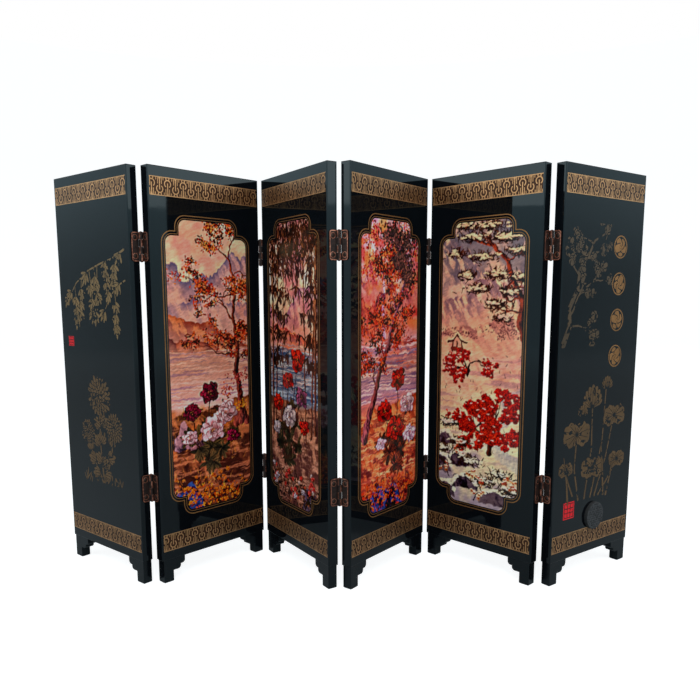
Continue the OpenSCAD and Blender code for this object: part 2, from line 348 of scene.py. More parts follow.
def antique_copper(name, place, at_right_end, behind):
    """Darkened copper for a leaf on the panel's right or left end, with its barrel behind or in front."""
    made = Finish(name)
    along = Vector([place[row][0] for row in range(3)])
    end = place @ Vector((BOARD_WIDE if at_right_end else 0.0, 0, 0))
    run = made.node("VectorMath", {"operation": "DOT_PRODUCT"}, {0: made.here, 1: tuple(along)},
                    output="Value")
    height = run - end.dot(along) if at_right_end else end.dot(along) - run
    side = BOARD_WIDE + BARREL if at_right_end else -BARREL
    axis = place @ Vector((side, BOARD_THICK + BARREL_OFF if behind else -BARREL_OFF, 0))
    plan = made.node("VectorMath", {"operation": "MULTIPLY"}, {0: made.here, 1: (1, 1, 0)})
    radius = made.node("VectorMath", {"operation": "DISTANCE"}, {0: plan, 1: tuple(axis)}, output="Value")
    barrel = radius.eased(BARREL + 0.12 * MM, BARREL)
    blotch = made.noise(0.0014, 4.0).eased(0.35, 0.7)
    fine = made.noise(0.0004, 2.0)
    rim = height.eased(FIELD, RIM) * (1 - barrel) * (0.55 + 0.45 * blotch)
    # The near half of each knuckle is made bright, partly as rubbed wear and partly as a painted highlight
    # where lamps would glint.
    crown = barrel * height.eased(*NEAR_SIDE) * height.eased(*FAR_SIDE) * (0.4 + 0.6 * blotch)
    wear_and_highlight = rim.maths("MAXIMUM", rim, crown)
    dark = made.blend(blotch, (0.010, 0.005, 0.004), (0.032, 0.015, 0.011))
    bright = made.blend(blotch, (0.300, 0.095, 0.055), (0.500, 0.205, 0.130))
    return made.done(Base_Color=made.blend(wear_and_highlight, dark, bright), Metallic=0.60 + 0.2 * wear_and_highlight,
                     Roughness=0.46 - 0.14 * wear_and_highlight + 0.12 * fine, Normal=made.bump(fine, 0.00003))


for fold in FOLDS:
    back = fold % 2 == 1
    for side, k in (("left", fold), ("right", fold + 1)):
        copper = antique_copper(f"copper_{fold}_{side}", panel_at[k], side == "left", back)
        dress([f"fold_{fold}_{level}_hinge_{side}_leaf" for level in ("lower", "upper")], copper)
print("20 leaves in copper")

# %% [markdown]
# ## Pins and screws
# The pins are of the same metal, polished by turning in their knuckles, and the screws are darkened brass
# with fine scratches round their heads. Both are small, so one noise each is enough to break up the shine.

# %% Metal for pins and screws
pin_metal = Finish("pin_copper")
pin_blotch = pin_metal.noise(0.0007, 3.0)
pin_metal.done(Base_Color=pin_metal.blend(pin_blotch, (0.05, 0.022, 0.015), (0.30, 0.12, 0.07)),
               Metallic=0.75, Roughness=0.3 + 0.2 * pin_blotch)
screw_metal = Finish("screw_brass")
screw_blotch = screw_metal.noise(0.0005, 4.0)
screw_metal.done(Base_Color=screw_metal.blend(screw_blotch, (0.010, 0.007, 0.006), (0.045, 0.026, 0.018)),
                 Metallic=0.7, Roughness=0.34 + 0.2 * screw_blotch,
                 Normal=screw_metal.bump(screw_metal.noise(0.0002), 0.00002))
dress([f"fold_{j}_{level}_hinge_pin" for j in FOLDS for level in ("lower", "upper")], pin_metal.material)
dress([f"fold_{j}_{side}_hinge_screws" for j in FOLDS for side in ("left", "right")], screw_metal.material)
print("10 pins and 40 screws finished")

# %% [markdown]
# ## The pad
# The charcoal pad on the last panel is matte and slightly porous. Its larger pits are real holes in the
# model, and what lies below the pad's face is painted darker, as shade in the holes. A voronoi pattern adds
# the pores between them, too small to be worth modelling.

# %% Finish the pad
charcoal = Finish("pad_charcoal")
pores = charcoal.node("TexVoronoi", {}, {"Vector": charcoal.here, "Scale": 2200.0}, output="Distance")
pitted = pores.eased(0.12, 0.4)
crust = charcoal.noise(0.0025, 5.0)
speckle = charcoal.noise(0.0013, 1.0).eased(0.38, 0.60)
PAD_THICK = 2.0 * MM
outward = -Vector([panel_at[6][row][1] for row in range(3)])
height = charcoal.node("VectorMath", {"operation": "DOT_PRODUCT"}, {0: charcoal.here, 1: tuple(outward)},
                       output="Value") - (panel_at[6].translation.dot(outward) + PAD_THICK)
# Painted shade: all that lies below the pad's face, in the pits, is darkened.
face = height.eased(-0.12 * MM, -0.03 * MM)
charcoal.done(Base_Color=charcoal.blend((0.25 * pitted * crust + 0.55 * speckle) * face,
                                        (0.006, 0.007, 0.008), (0.052, 0.058, 0.064)),
              Roughness=0.72 + 0.2 * crust, Normal=charcoal.bump(pitted * 0.5 + crust, 0.00018))
dress(["round_pad"], charcoal.material)
print("pad finished")

# %% [markdown]
# ## Thin prints as solid sheets
# Gold lines on a board could be a texture, but a texture has no edge. Here each stroke is a closed sheet a
# few hundredths of a millimetre thick: it catches light at its rim and survives any zoom. A sheet is drawn
# on the panel's face in millimetres, as a strip between two paths, and many of them are gathered into one
# piece.

# %% A builder for sheets
SHEET = 0.04


class Sheets:
    """Collects thin closed shapes drawn in panel millimetres (x, z) and makes one piece of them."""

    def __init__(self, thick=SHEET):
        self.thick = thick
        self.corners = []
        self.faces = []

    def add(self, points, back=False):
        start = len(self.corners)
        depth = 0.0 if back else -self.thick
        self.corners += [(x * MM, depth * MM, z * MM) for x, z in points]
        return start

    def strip(self, one, other, closed=False):
        """A sheet between two paths of as many points. one is on the left of the way they run."""
        count = len(one)
        rows = [self.add(one), self.add(other), self.add(one, True), self.add(other, True)]
        left, right, left_back, right_back = rows
        last = count if closed else count - 1
        for i in range(last):
            j = (i + 1) % count
            self.faces += [
                (left + i, right + i, right + j, left + j),
                (right_back + i, left_back + i, left_back + j, right_back + j),
                (left_back + i, left + i, left + j, left_back + j),
                (right + i, right_back + i, right_back + j, right + j),
            ]
        if not closed:
            end = count - 1
            self.faces += [
                (left, left_back, right_back, right),
                (left + end, right + end, right_back + end, left_back + end),
            ]

    def ribbon(self, path, widths):
        """A stroke along a path, with a width at each point."""
        path = np.asarray(path, float)
        widths = np.broadcast_to(np.asarray(widths, float), len(path))
        ahead = np.gradient(path, axis=0)
        ahead /= np.linalg.norm(ahead, axis=1)[:, None]
        across = np.stack([-ahead[:, 1], ahead[:, 0]], axis=1) * widths[:, None] / 2
        self.strip(path + across, path - across)

    def piece(self, name, panel, material, slot="lacquered_board"):
        mesh = bpy.data.meshes.new(name)
        mesh.from_pydata(self.corners, [], self.faces)
        mesh.materials.append(material)
        mesh.validate()
        mesh.update()
        made = bpy.data.objects.new(name, mesh)
        made.matrix_world = panel_at[panel]
        bpy.context.scene.collection.objects.link(made)
        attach(made, f"panel_{panel}")
        return made


def toward(u, v, angle, reach):
    """The point this far from (u, v) in a direction."""
    return u + reach * math.cos(angle), v + reach * math.sin(angle)


def arc(centre, radius, start, end, steps=8):
    """Points along an arc, angles in degrees, end included."""
    return [toward(*centre, a, radius) for a in np.radians(np.linspace(start, end, steps + 1))]


print("sheets are", SHEET, "mm thick")

# %% [markdown]
# ## Gold ink
# The gold is bronze powder in varnish: half metal and half paint, never as bright as leaf. A fine noise
# gives the grain of the powder, and a wide one the places where the screen carried less ink. Bands and
# lines are the fuller gold, and the drawings on the end panels are a thinner, browner one.


# %% Mix the gold inks
def gold_ink(name, thin, full, metal):
    """An ink between the colours thin and full, and as metallic as metal says."""
    made = Finish(name)
    patches = made.noise(0.009, 3.0)
    grain = made.noise(0.0005, 2.0)
    cover = (patches * 0.5 + grain * 0.5).eased(0.3, 0.7)
    return made.done(Base_Color=made.blend(cover, thin, full), Metallic=metal,
                     Roughness=0.34 + 0.16 * grain, IOR=LACQUER_IOR)


band_gold = gold_ink("band_gold", (0.34, 0.180, 0.076), (0.58, 0.325, 0.150), 0.75)
band_brown = gold_ink("band_brown", (0.026, 0.010, 0.004), (0.058, 0.022, 0.009), 0.5)
line_gold = gold_ink("line_gold", (0.19, 0.088, 0.028), (0.36, 0.172, 0.056), 0.6)
drawing_gold = gold_ink("drawing_gold", (0.075, 0.043, 0.018), (0.150, 0.084, 0.032), 0.2)
leaf_gold = gold_ink("leaf_gold", (0.110, 0.072, 0.030), (0.250, 0.155, 0.058), 0.2)
faint_gold = gold_ink("faint_gold", (0.042, 0.028, 0.015), (0.100, 0.062, 0.030), 0.15)
print("six inks mixed")

# %% [markdown]
# ## Fret bands
# A band of interlocking strokes runs across every panel, above and below, between two fine lines. It is an
# old pattern that is easy to state: stems hang from the upper line and rise from the lower one by turns,
# and a ring that stands on the other line runs round each stem's free end. One motif is drawn, flipped and
# repeated. The strokes lie on a thinner brown strip, so the gaps between them are never as black as the
# board.

# %% Draw the fret bands
BAND_LEFT, BAND_RIGHT = 1.25, 76.35
BAND_TALL = 10.25
BAND_STEP = 5.1
FIRST_STEM = 2.55
HALF_MOTIF = 2.3
RING_WIDE, EDGE_WIDE = 0.6, 0.44
GROUND_INSET = 0.1
UPPER_BAND, LOWER_BAND = 223.9, 19.45


def fret_motif(sheets, x, foot, up):
    """One stem with its cap and the ring round its end. up is 1 where the stem stands on the lower line."""
    def at(points):
        # A stem that hangs is the same drawing turned upside down, which also reverses its sides.
        half = BAND_TALL / 2
        return [(x + up * px, foot + half + up * (pz - half)) for px, pz in points]

    stem = 6.9
    ring = 1.95
    sheets.ribbon(at([(0, 0.3), (0, 0.9), (0, 1.6), (0, stem - 0.5), (0, stem)]), [1.9, 1.0, 0.6, 0.6, 0.8])
    centre = (0, stem - 0.3)
    low, high = BAND_LEFT + RING_WIDE / 2, BAND_RIGHT - RING_WIDE / 2
    round_stem = at(arc(centre, ring, -56, 236, 26))
    sheets.ribbon([(min(max(px, low), high), pz) for px, pz in round_stem], RING_WIDE)
    for side in (-1, 1):
        sheets.ribbon(at([(side * 0.8, centre[1] + 1.9), (side * 1.0, BAND_TALL - 0.3)]), [0.5, 0.7])
        sheets.ribbon(at([(side * 1.2, 0.5), (side * 1.2, 3.9)]), [0.45, 0.4])
        outer = min(max(x + side * HALF_MOTIF, low), high) - x
        sheets.ribbon(at([(outer, 0.6), (outer, 1.9)]), [0.5, 0.4])


def fret_band(foot):
    """A whole band: its two edge lines, and stems that stand and hang by turns."""
    sheets = Sheets()
    for z in (foot + EDGE_WIDE / 2, foot + BAND_TALL - EDGE_WIDE / 2):
        sheets.ribbon([(BAND_LEFT, z), (BAND_RIGHT, z)], EDGE_WIDE)
    x, up = FIRST_STEM, 1
    while x < BAND_RIGHT - HALF_MOTIF:
        fret_motif(sheets, x, foot, up)
        x += BAND_STEP
        up = -up
    return sheets


for k in PANELS:
    for level, foot in (("upper", UPPER_BAND), ("lower", LOWER_BAND)):
        ground = Sheets(SHEET / 2)
        middle = foot + BAND_TALL / 2
        ends = [(BAND_LEFT + GROUND_INSET, middle), (BAND_RIGHT - GROUND_INSET, middle)]
        ground.ribbon(ends, BAND_TALL - 0.5)
        ground.piece(f"panel_{k}_{level}_band_ground", k, band_brown)
        fret_band(foot).piece(f"panel_{k}_{level}_band", k, band_gold)
print("12 fret bands, stems", BAND_STEP, "mm apart")

# %% [markdown]
# ## Windows
# The four middle panels have a tall window with round shoulders: a body, and a narrower tab above and
# below. Two gold lines go round it. Seen as numbers a window is two rectangles that share a middle, with
# every outer corner rounded and every inner corner left sharp. A line is the strip between one such path
# and the same path drawn a little further in, so its width is true round the corners as well.


# %% The window's path, and the two gold lines
class Window:
    """A window's outline in panel mm. inset() gives the same outline drawn further in."""

    def __init__(self, body, tab, top, shoulder, foot, hip, corner):
        self.body, self.tab = body, tab
        self.top, self.shoulder, self.foot, self.hip = top, shoulder, foot, hip
        self.corner = corner

    def inset(self, by):
        (body0, body1), (tab0, tab1) = self.body, self.tab
        return Window((body0 + by, body1 - by), (tab0 + by, tab1 - by), self.top - by, self.shoulder - by,
                      self.foot + by, self.hip + by, self.corner - by)

    def path(self):
        """Clockwise as seen from the front, from the notch at the upper left."""
        r = self.corner
        (body0, body1), (tab0, tab1) = self.body, self.tab

        def rounded(x, z, start):
            return arc((x, z), r, start, start - 90)

        upper_tab = rounded(tab0 + r, self.top - r, 180) + rounded(tab1 - r, self.top - r, 90)
        right = rounded(body1 - r, self.shoulder - r, 90) + rounded(body1 - r, self.hip + r, 0)
        lower_tab = rounded(tab1 - r, self.foot + r, 0) + rounded(tab0 + r, self.foot + r, -90)
        left = rounded(body0 + r, self.hip + r, -90) + rounded(body0 + r, self.shoulder - r, 180)
        return [(tab0, self.shoulder), *upper_tab, (tab1, self.shoulder), *right, (tab1, self.hip),
                *lower_tab, (tab0, self.hip), *left]


frame_line = Window(body=(7.1, 69.5), tab=(16.1, 60.7), top=214.6, shoulder=205.6, foot=38.3, hip=47.7,
                    corner=7.0)
OUTER_LINE, INNER_LINE, LINE_GAP = 0.55, 0.32, 1.15
PICTURE_GAP = 0.75
second_line = frame_line.inset(OUTER_LINE + LINE_GAP)
opening = second_line.inset(INNER_LINE + PICTURE_GAP)
PICTURE_PANELS = (2, 3, 4, 5)
for k in PICTURE_PANELS:
    lines = Sheets()
    lines.strip(frame_line.path(), frame_line.inset(OUTER_LINE).path(), closed=True)
    lines.strip(second_line.path(), second_line.inset(INNER_LINE).path(), closed=True)
    lines.piece(f"panel_{k}_window_lines", k, line_gold)
print("picture opening", np.round([*opening.body, opening.foot, opening.top], 2).tolist())

# %% [markdown]
# ## Painting by code
# The four pictures are printed paintings. They could be flat colours with noise, but a painting lives by
# its brush marks: washes, then hills, then trees, then flowers, each laid over the last. So this part is a
# small paint box. A canvas is a fine grid of points that hold colours, and each tool lays colour on it with
# soft edges: a graded wash, a cloudy glaze, a ridge in mist, a tapering line, a leaf, a blossom. Every
# canvas has a seeded random source of its own, so a picture comes out the same each time.


# %% Colours, steps and clouds
def tone(*levels):
    """A colour as a painter names it, 0 to 255 a channel."""
    return np.array(levels, float) / 255


def eased(low, high, value):
    """0 below low, 1 above high, and a soft step between."""
    t = np.clip((value - low) / (high - low), 0, 1)
    return t * t * (3 - 2 * t)


def drift(rng, u, v, size, octaves=4):
    """A cloudy field between 0 and 1. size is that of its patches in mm, or (across, up)."""
    across, up = (size, size) if np.isscalar(size) else size
    total, weight = np.zeros(u.shape), 0.0
    for octave in range(octaves):
        share = 0.5**octave
        fu, fv = u / (across * share), v / (up * share)
        fu, fv = fu - fu.min(), fv - fv.min()
        grid = rng.random((int(fv.max()) + 2, int(fu.max()) + 2))
        iu, iv = fu.astype(int), fv.astype(int)
        tu, tv = eased(0, 1, fu - iu), eased(0, 1, fv - iv)
        low = grid[iv, iu] * (1 - tu) + grid[iv, iu + 1] * tu
        high = grid[iv + 1, iu] * (1 - tu) + grid[iv + 1, iu + 1] * tu
        total += share * (low * (1 - tv) + high * tv)
        weight += share
    return np.clip((total / weight - 0.5) * 1.6 + 0.5, 0, 1)


cloudy_row = drift(np.random.default_rng(1), np.arange(6.0)[None], np.zeros((1, 6)), 2.0)[0]
print("a cloudy row:", np.round(cloudy_row, 2))


# %% The canvas and its broad tools
class Canvas:
    """A picture in the making: a colour for each point of a fine grid, u across and v up, in mm."""

    def __init__(self, width, height, per_mm, seed, ground=1.0):
        self.rng = np.random.default_rng(seed)
        self.width, self.height, self.per_mm = width, height, per_mm
        across = np.arange(0, width + 1 / per_mm, 1 / per_mm)
        up = np.arange(0, height + 1 / per_mm, 1 / per_mm)
        self.u, self.v = np.meshgrid(across, up)
        self.colour = np.full((*self.u.shape, 3), ground)

    def drift(self, size, octaves=4):
        return drift(self.rng, self.u, self.v, size, octaves)

    def near(self, u0, u1, v0, v1):
        """The part of the grid round a mark, so that a small mark costs little."""
        rows, columns = self.u.shape
        i0, i1 = (int(np.clip(x * self.per_mm, 0, rows)) for x in (v0 - 0.5, v1 + 1))
        j0, j1 = (int(np.clip(x * self.per_mm, 0, columns)) for x in (u0 - 0.5, u1 + 1))
        return slice(i0, i1), slice(j0, j1)

    def glaze(self, colour, cover, where=(slice(None), slice(None))):
        """Lays a colour on, as strongly as cover says at each point."""
        under = self.colour[where]
        cover = np.asarray(cover)[..., None] if np.ndim(cover) else cover
        self.colour[where] = under + (np.asarray(colour) - under) * cover

    def between(self, v0, v1, soft=4.0):
        """1 between two heights, fading out beyond them."""
        return eased(v0 - soft, v0 + soft, self.v) * (1 - eased(v1 - soft, v1 + soft, self.v))

    def wash(self, stops):
        """A graded ground. stops are (height, colour) from the bottom up."""
        for c in range(3):
            self.colour[..., c] = np.interp(self.v, [h for h, _ in stops], [s[c] for _, s in stops])

    def mottle(self, colour, size, amount, low=0.45, high=0.85, v0=-99, v1=999):
        """Cloudy patches of a colour between two heights."""
        self.glaze(colour, eased(low, high, self.drift(size)) * amount * self.between(v0, v1))

    def streaks(self, colour, v0, v1, amount, size=(16, 0.8), low=0.5, high=0.75):
        """Level brush marks, as for water or trodden ground."""
        self.glaze(colour, eased(low, high, self.drift(size, 3)) * amount * self.between(v0, v1, 2.0))

    def skyline(self, base, rise, size, lean):
        """The height of a ridge at each step across."""
        row = drift(self.rng, self.u[:1], self.v[:1] * 0, (size, 1), 6)[0]
        return base + rise * (row - 0.5) * 2 + lean * (self.u[0] - self.width / 2)

    def ridge(self, height, light, dark, fade):
        """A hill under a skyline: lit folds, dark clefts, and mist that takes its foot."""
        soft = 0.5
        below = height[None, :] - self.v
        edge = eased(-soft, soft, below)
        slant = drift(self.rng, self.u + self.v * 0.5, self.v - self.u * 0.3, (3.5, 9), 5)
        folds = eased(0.35, 0.7, slant)[..., None]
        self.glaze(light * folds + dark * (1 - folds), edge * np.exp(-np.maximum(below, 0) / fade))
        self.glaze(dark, eased(2.2, 0.0, below) * edge * 0.45)


# %% [markdown]
# The fine tools work on small parts of the grid. A line measures each point's distance from a bent path and
# shades one flank, which rounds a trunk. A leaf is a lens in its own slanted frame, shaded from foot to
# tip. Everything that grows is made of these two.


# %% The fine tools
TINY = 1e-9


class Brush(Canvas):
    """A canvas with the tools for what grows on it."""

    def line(self, points, widths, colour, shade=None, cover=1.0, soft=0.3, grain=0.0):
        """A tapering brush line. shade colours its right flank, and grain roughens its bark."""
        points = np.asarray(points, float)
        widths = np.broadcast_to(np.asarray(widths, float), len(points))
        reach = widths.max() / 2 + soft
        (u0, v0), (u1, v1) = points.min(0) - reach, points.max(0) + reach
        where = self.near(u0, u1, v0, v1)
        u, v = self.u[where], self.v[where]
        if not u.size:
            return
        best, flank = np.full(u.shape, -9.0), np.zeros(u.shape)
        for a, b, wide_a, wide_b in zip(points, points[1:], widths, widths[1:], strict=False):
            step = b - a
            t = np.clip(((u - a[0]) * step[0] + (v - a[1]) * step[1]) / max(step @ step, TINY), 0, 1)
            du, dv = u - a[0] - t * step[0], v - a[1] - t * step[1]
            radius = (wide_a + (wide_b - wide_a) * t) / 2
            inside = radius - np.hypot(du, dv)
            across = (du * step[1] - dv * step[0]) / (math.hypot(*step) + TINY) / np.maximum(radius, 0.05)
            flank = np.where(inside > best, across, flank)
            best = np.maximum(best, inside)
        body = np.asarray(colour)
        if shade is not None:
            mix = eased(-0.8, 0.8, flank)
            if grain:
                mix = np.clip(mix + grain * (drift(self.rng, u, v, (0.9, 3.0), 3) - 0.5), 0, 1)
            body = colour + (shade - colour) * mix[..., None]
        self.glaze(body, eased(-soft / 2, soft / 2, best) * cover, where)

    def leaf(self, u, v, angle, length, width, base, tip, cover=0.95, blunt=2.0, vein=None):
        """A leaf or petal with its foot at (u, v). blunt over 2 rounds its tip."""
        c, s = math.cos(angle), math.sin(angle)
        mid_u, mid_v = u + c * length / 2, v + s * length / 2
        reach = max(length, width) / 2 + 0.3
        where = self.near(mid_u - reach, mid_u + reach, mid_v - reach, mid_v + reach)
        gu, gv = self.u[where] - u, self.v[where] - v
        if not gu.size:
            return
        along = (gu * c + gv * s) / length
        across = (gv * c - gu * s) / (width / 2)
        reached = np.clip(along, 0, 1)
        swell = np.clip(4 * reached ** (0.7 if blunt > 2 else 1) * (1 - reached), 0, 1)
        inside = np.where((along > 0) & (along < 1), swell ** (1 / blunt) - np.abs(across), -1) * width / 2
        body = base + (tip - base) * np.clip(along + 0.12 * across, 0, 1)[..., None]
        if vein is not None:
            body = body + (vein - body) * (eased(0.22, 0.05, np.abs(across)) * 0.8)[..., None]
        self.glaze(body, eased(-0.12, 0.15, inside) * cover, where)

    def pick(self, tones, share):
        """A colour from a row of them, 0 for the first and 1 for the last."""
        place = float(np.clip(share, 0, 0.999)) * (len(tones) - 1)
        low = int(place)
        return tones[low] + (tones[low + 1] - tones[low]) * (place - low)

    def clump(self, centre, spread, count, length, width, tones, cover=0.95):
        """A clump of leaves, the dark ones first and the light ones over them."""
        rng = self.rng
        spots = rng.normal(0, 0.5, (count, 2)) * spread + centre
        for (u, v), depth in zip(spots, np.sort(rng.random(count)), strict=True):
            angle = rng.uniform(0, 2 * math.pi)
            colour = self.pick(tones, depth + rng.normal(0, 0.22))
            size = rng.uniform(0.7, 1.2)
            self.leaf(u, v, angle, length * size, width * size, colour * 0.8, colour, cover)

    def limb(self, start, angle, length, width, light, dark, bend, forks=3, depth=2, tips=None):
        """A branch that wanders, thins and forks. Its twigs' ends are gathered in tips."""
        rng = self.rng
        tips = [] if tips is None else tips
        steps = max(4, int(length / 2.5))
        points, heading = [np.array(start, float)], angle
        for _ in range(steps):
            heading += rng.normal(0, bend / math.sqrt(steps) * 1.6)
            points.append(points[-1] + length / steps * np.array([math.cos(heading), math.sin(heading)]))
        widths = np.linspace(width, width * 0.45, len(points))
        if depth:
            for fork in range(forks):
                at = int(rng.uniform(0.35, 0.95) * steps) if fork else steps
                turn = rng.choice([-1, 1]) * rng.uniform(0.35, 0.9) if fork else rng.normal(0, 0.2)
                self.limb(points[at], heading + turn, length * rng.uniform(0.5, 0.75),
                          max(widths[at] * 0.75, 0.35), light, dark, bend, forks, depth - 1, tips)
        else:
            tips += [points[-1], points[len(points) // 2]]
        self.line(points, widths, light, dark, grain=0.9)
        return tips


print("brush ready:", ", ".join(n for n in vars(Brush) if not n.startswith("_")))

# %% [markdown]
# Some things stand in more than one picture. A blossom is a few rings of petals round a heart, a tree is
# limbs, a trunk and leaves at the ends of its twigs, a stone is a lumpy outline with lit planes, and a
# peony is stalks, broad leaves and blossoms from one root. All of them are made with the two fine tools.


# %% Blossoms, grass, trees and stones
class Garden(Brush):
    """A canvas with the plants and stones that the pictures share."""

    def bloom(self, u, v, radius, heart, petal, edge, rings=5, stamens=5):
        """A full blossom: rings of ruffled petals, the outer ones first, each over its own dark crease."""
        rng = self.rng
        for ring in range(rings):
            share = 1 - ring / rings
            turn = rng.uniform(0, math.pi)
            count = 11 - ring if rings > 2 else 6 - ring
            at = np.array([u, v]) + rng.normal(0, 0.1 * radius, 2) * (ring > 0)
            for k in range(count):
                angle = turn + 2 * math.pi * k / count + rng.normal(0, 0.2)
                ray = np.array([math.cos(angle), math.sin(angle)])
                squash = math.hypot(ray[0], 0.84 * ray[1])
                reach = radius * (0.22 + 0.78 * share) * rng.uniform(0.74, 1.14) * squash
                wide = radius * (0.32 + 0.26 * share) * rng.uniform(0.8, 1.2)
                shade = rng.uniform(0.66, 1.08) * (1 - 0.2 * math.cos(angle + 0.8))
                self.leaf(*at, angle, reach, wide, heart * 0.5, heart * 0.9 * shade, 0.9, 3.0)
                self.leaf(*(at + ray * reach * 0.06), angle + rng.normal(0, 0.12), reach * 0.9, wide * 0.8,
                          heart * shade, np.clip(edge * shade, 0, 1), 0.95, 3.0)
                self.leaf(*(at + ray * reach * 0.45), angle + rng.normal(0, 0.4), reach * 0.42, wide * 0.45,
                          petal * shade, edge * shade, 0.45, 3.0)
        for _ in range(stamens):
            a, r = rng.uniform(0, 2 * math.pi), radius * 0.12 * rng.random()
            self.leaf(*toward(u, v, a, r), a, 0.08 * radius + 0.12, 0.05 * radius + 0.1, tone(196, 140, 60),
                      tone(232, 186, 104), 0.8)

    def grass(self, v0, v1, count, height, tones):
        """Short upright strokes over a stretch of ground."""
        rng = self.rng
        for _ in range(count):
            u, v = rng.uniform(0, self.width), rng.uniform(v0, v1)
            tall, lean = height * rng.uniform(0.5, 1.2), SKYWARD + rng.normal(0, 0.4)
            colour = np.clip(tones[rng.integers(len(tones))] * rng.uniform(0.8, 1.15), 0, 1)
            self.line([(u, v), toward(u, v, lean, tall)], [0.5, 0.15], colour, cover=0.75)

    def tree(self, trunk, girths, limbs, bend, bark, shade, grain, leaves, dark_leaves):
        """A tree in leaf: its limbs, the trunk over their feet, and leaves at the ends of the twigs."""
        tips = []
        for start, angle, length, width in limbs:
            self.limb(start, angle, length, width, bark, shade, bend, tips=tips)
        self.line(trunk, girths, bark, shade, grain=grain)
        for at, tip in enumerate(tips):
            self.clump(tip, *leaves)
            if at % 3 == 0:
                self.clump(tip, *dark_leaves)

    def rock(self, u, v, wide, tall, light, mid, dark):
        """A boulder: a lumpy outline, planes lit from the left, and dark cracks."""
        reach = max(wide, tall)
        where = self.near(u - reach, u + reach, v - 2, v + tall * 1.5)
        gu, gv = self.u[where], self.v[where]
        if not gu.size:
            return
        angle = np.arctan2((gv - v) / tall, (gu - u) / (wide / 2))
        first, second = self.rng.uniform(0, 6, 2)
        lumps = 1 + 0.13 * np.sin(3 * angle + first) + 0.09 * np.sin(7 * angle + second)
        inside = lumps - np.hypot((gu - u) / (wide / 2), (gv - v) / tall)
        foot = drift(self.rng, gu, gv * 0, (4.0, 1.0), 3) * 1.6 - 0.8
        mask = eased(-0.03, 0.03, inside) * eased(-0.4, 0.4, gv - v - foot)
        planes = drift(self.rng, gu + gv * 0.6, gv - gu * 0.4, (3.0, 5.0), 4)
        rim = eased(0.4, 0.0, inside) * (gu < u + wide * 0.2)
        lit = np.clip(eased(0.3, 0.75, planes) * 0.7 + 0.5 * rim, 0, 1)
        body = dark + (mid - dark) * eased(0.2, 0.5, planes)[..., None]
        self.glaze(body + (light - body) * lit[..., None], mask, where)

    def peony(self, root, heads, stalk, greens):
        """A peony bush: stalks from one root, broad leaves along them, and a blossom on each."""
        rng = self.rng
        for u, v, _, _ in heads:
            foot = (root[0] + (u - root[0]) * 0.15 + rng.normal(0, 0.8), root[1] + rng.normal(0, 0.8))
            mid = ((foot[0] + u) / 2 + rng.normal(0, 1.5), (foot[1] + v) / 2)
            self.line([foot, mid, (u, v)], [1.4, 1.0, 0.6], stalk, stalk * 0.35)
            for at in (foot, mid, mid, (u, v)):
                lean = rng.uniform(0, 2 * math.pi)
                for k in range(6):
                    angle = lean + (k - 2.5) * 0.55 + rng.normal(0, 0.12)
                    share = rng.random()
                    base, tip = self.pick(greens, share * 0.6), self.pick(greens, share * 0.5 + 0.45)
                    self.leaf(*at, angle, rng.uniform(4.5, 8.5), rng.uniform(1.9, 3.1), base, tip, 0.97,
                              vein=greens[0])
        for u, v, size, colours in heads:
            self.bloom(u, v, size, *colours)


print("garden ready:", ", ".join(n for n in vars(Garden) if not n.startswith("_")))

# %% [markdown]
# A print is never as clean as its drawing. The last step drags the paint a little, makes the edges crisp as
# a printer does, roughens the tone with brush marks, and gives each height of the picture its own tint.


# %% The print of a painting
MIDDLE_TONE, CONTRAST = 0.42, 1.25


def sampled(canvas, u, v):
    """The canvas colours at points in mm, mixed from the four grid points round each."""
    rows, columns = canvas.u.shape
    i = np.clip(v * canvas.per_mm, 0, rows - 1.001)
    j = np.clip(u * canvas.per_mm, 0, columns - 1.001)
    i0, j0 = i.astype(int), j.astype(int)
    up, over = (i - i0)[:, None], (j - j0)[:, None]
    low = canvas.colour[i0, j0] * (1 - over) + canvas.colour[i0, j0 + 1] * over
    high = canvas.colour[i0 + 1, j0] * (1 - over) + canvas.colour[i0 + 1, j0 + 1] * over
    return low * (1 - up) + high * up


class Painting(Garden):
    """A canvas that can be printed when the painting is done."""

    def smear(self, reach, size):
        """Drags the paint a little here and there, so that no edge stays drawn by a ruler."""
        shift_u, shift_v = (reach * (self.drift(size, 3) - 0.5) for _ in range(2))
        moved = sampled(self, (self.u + shift_u).ravel(), (self.v + shift_v).ravel())
        self.colour = moved.reshape(self.colour.shape)

    def sharpen(self, reach, amount):
        """Sets each point off from the mean of those round it, reach steps each way."""
        rows, columns, _ = self.colour.shape
        steps = range(2 * reach + 1)
        wide = np.pad(self.colour, ((reach, reach), (reach, reach), (0, 0)), "edge")
        wide = sum(wide[i:i + rows] for i in steps) / len(steps)
        mean = sum(wide[:, j:j + columns] for j in steps) / len(steps)
        self.colour += amount * (self.colour - mean)

    def print_off(self, low, middle, high, crisp):
        """Brush marks, crisp edges, more contrast, and a tint for low, middle and high."""
        self.smear(1.1, 2.6)
        self.sharpen(3, crisp)
        self.sharpen(16, 0.25)
        slant = drift(self.rng, self.u + 0.5 * self.v, self.v - 0.4 * self.u, (2.6, 0.8), 3) - 0.5
        self.colour *= (1 + 0.20 * slant + 0.03 * self.rng.normal(0, 1, self.u.shape))[..., None]
        self.colour = MIDDLE_TONE + (self.colour - MIDDLE_TONE) * CONTRAST
        heights = [share * self.height for share in (0.15, 0.5, 0.85)]
        for c in range(3):
            self.colour[..., c] *= np.interp(self.v, heights, [low[c], middle[c], high[c]])
        self.colour = np.clip(self.colour, 0.01, 0.97)


print("print ready:", ", ".join(n for n in vars(Painting) if not n.startswith("_")))

# %% [markdown]
# ### First picture: a lake in autumn
# Beige sky, blue peaks in mist, a warm shore with a small pavilion, and pale water. A maple leans in from
# the right. On the near bank stands a peony bush in white and plum, and low down are orange flowers round a
# blue stone. The order is far to near, as a painter works.


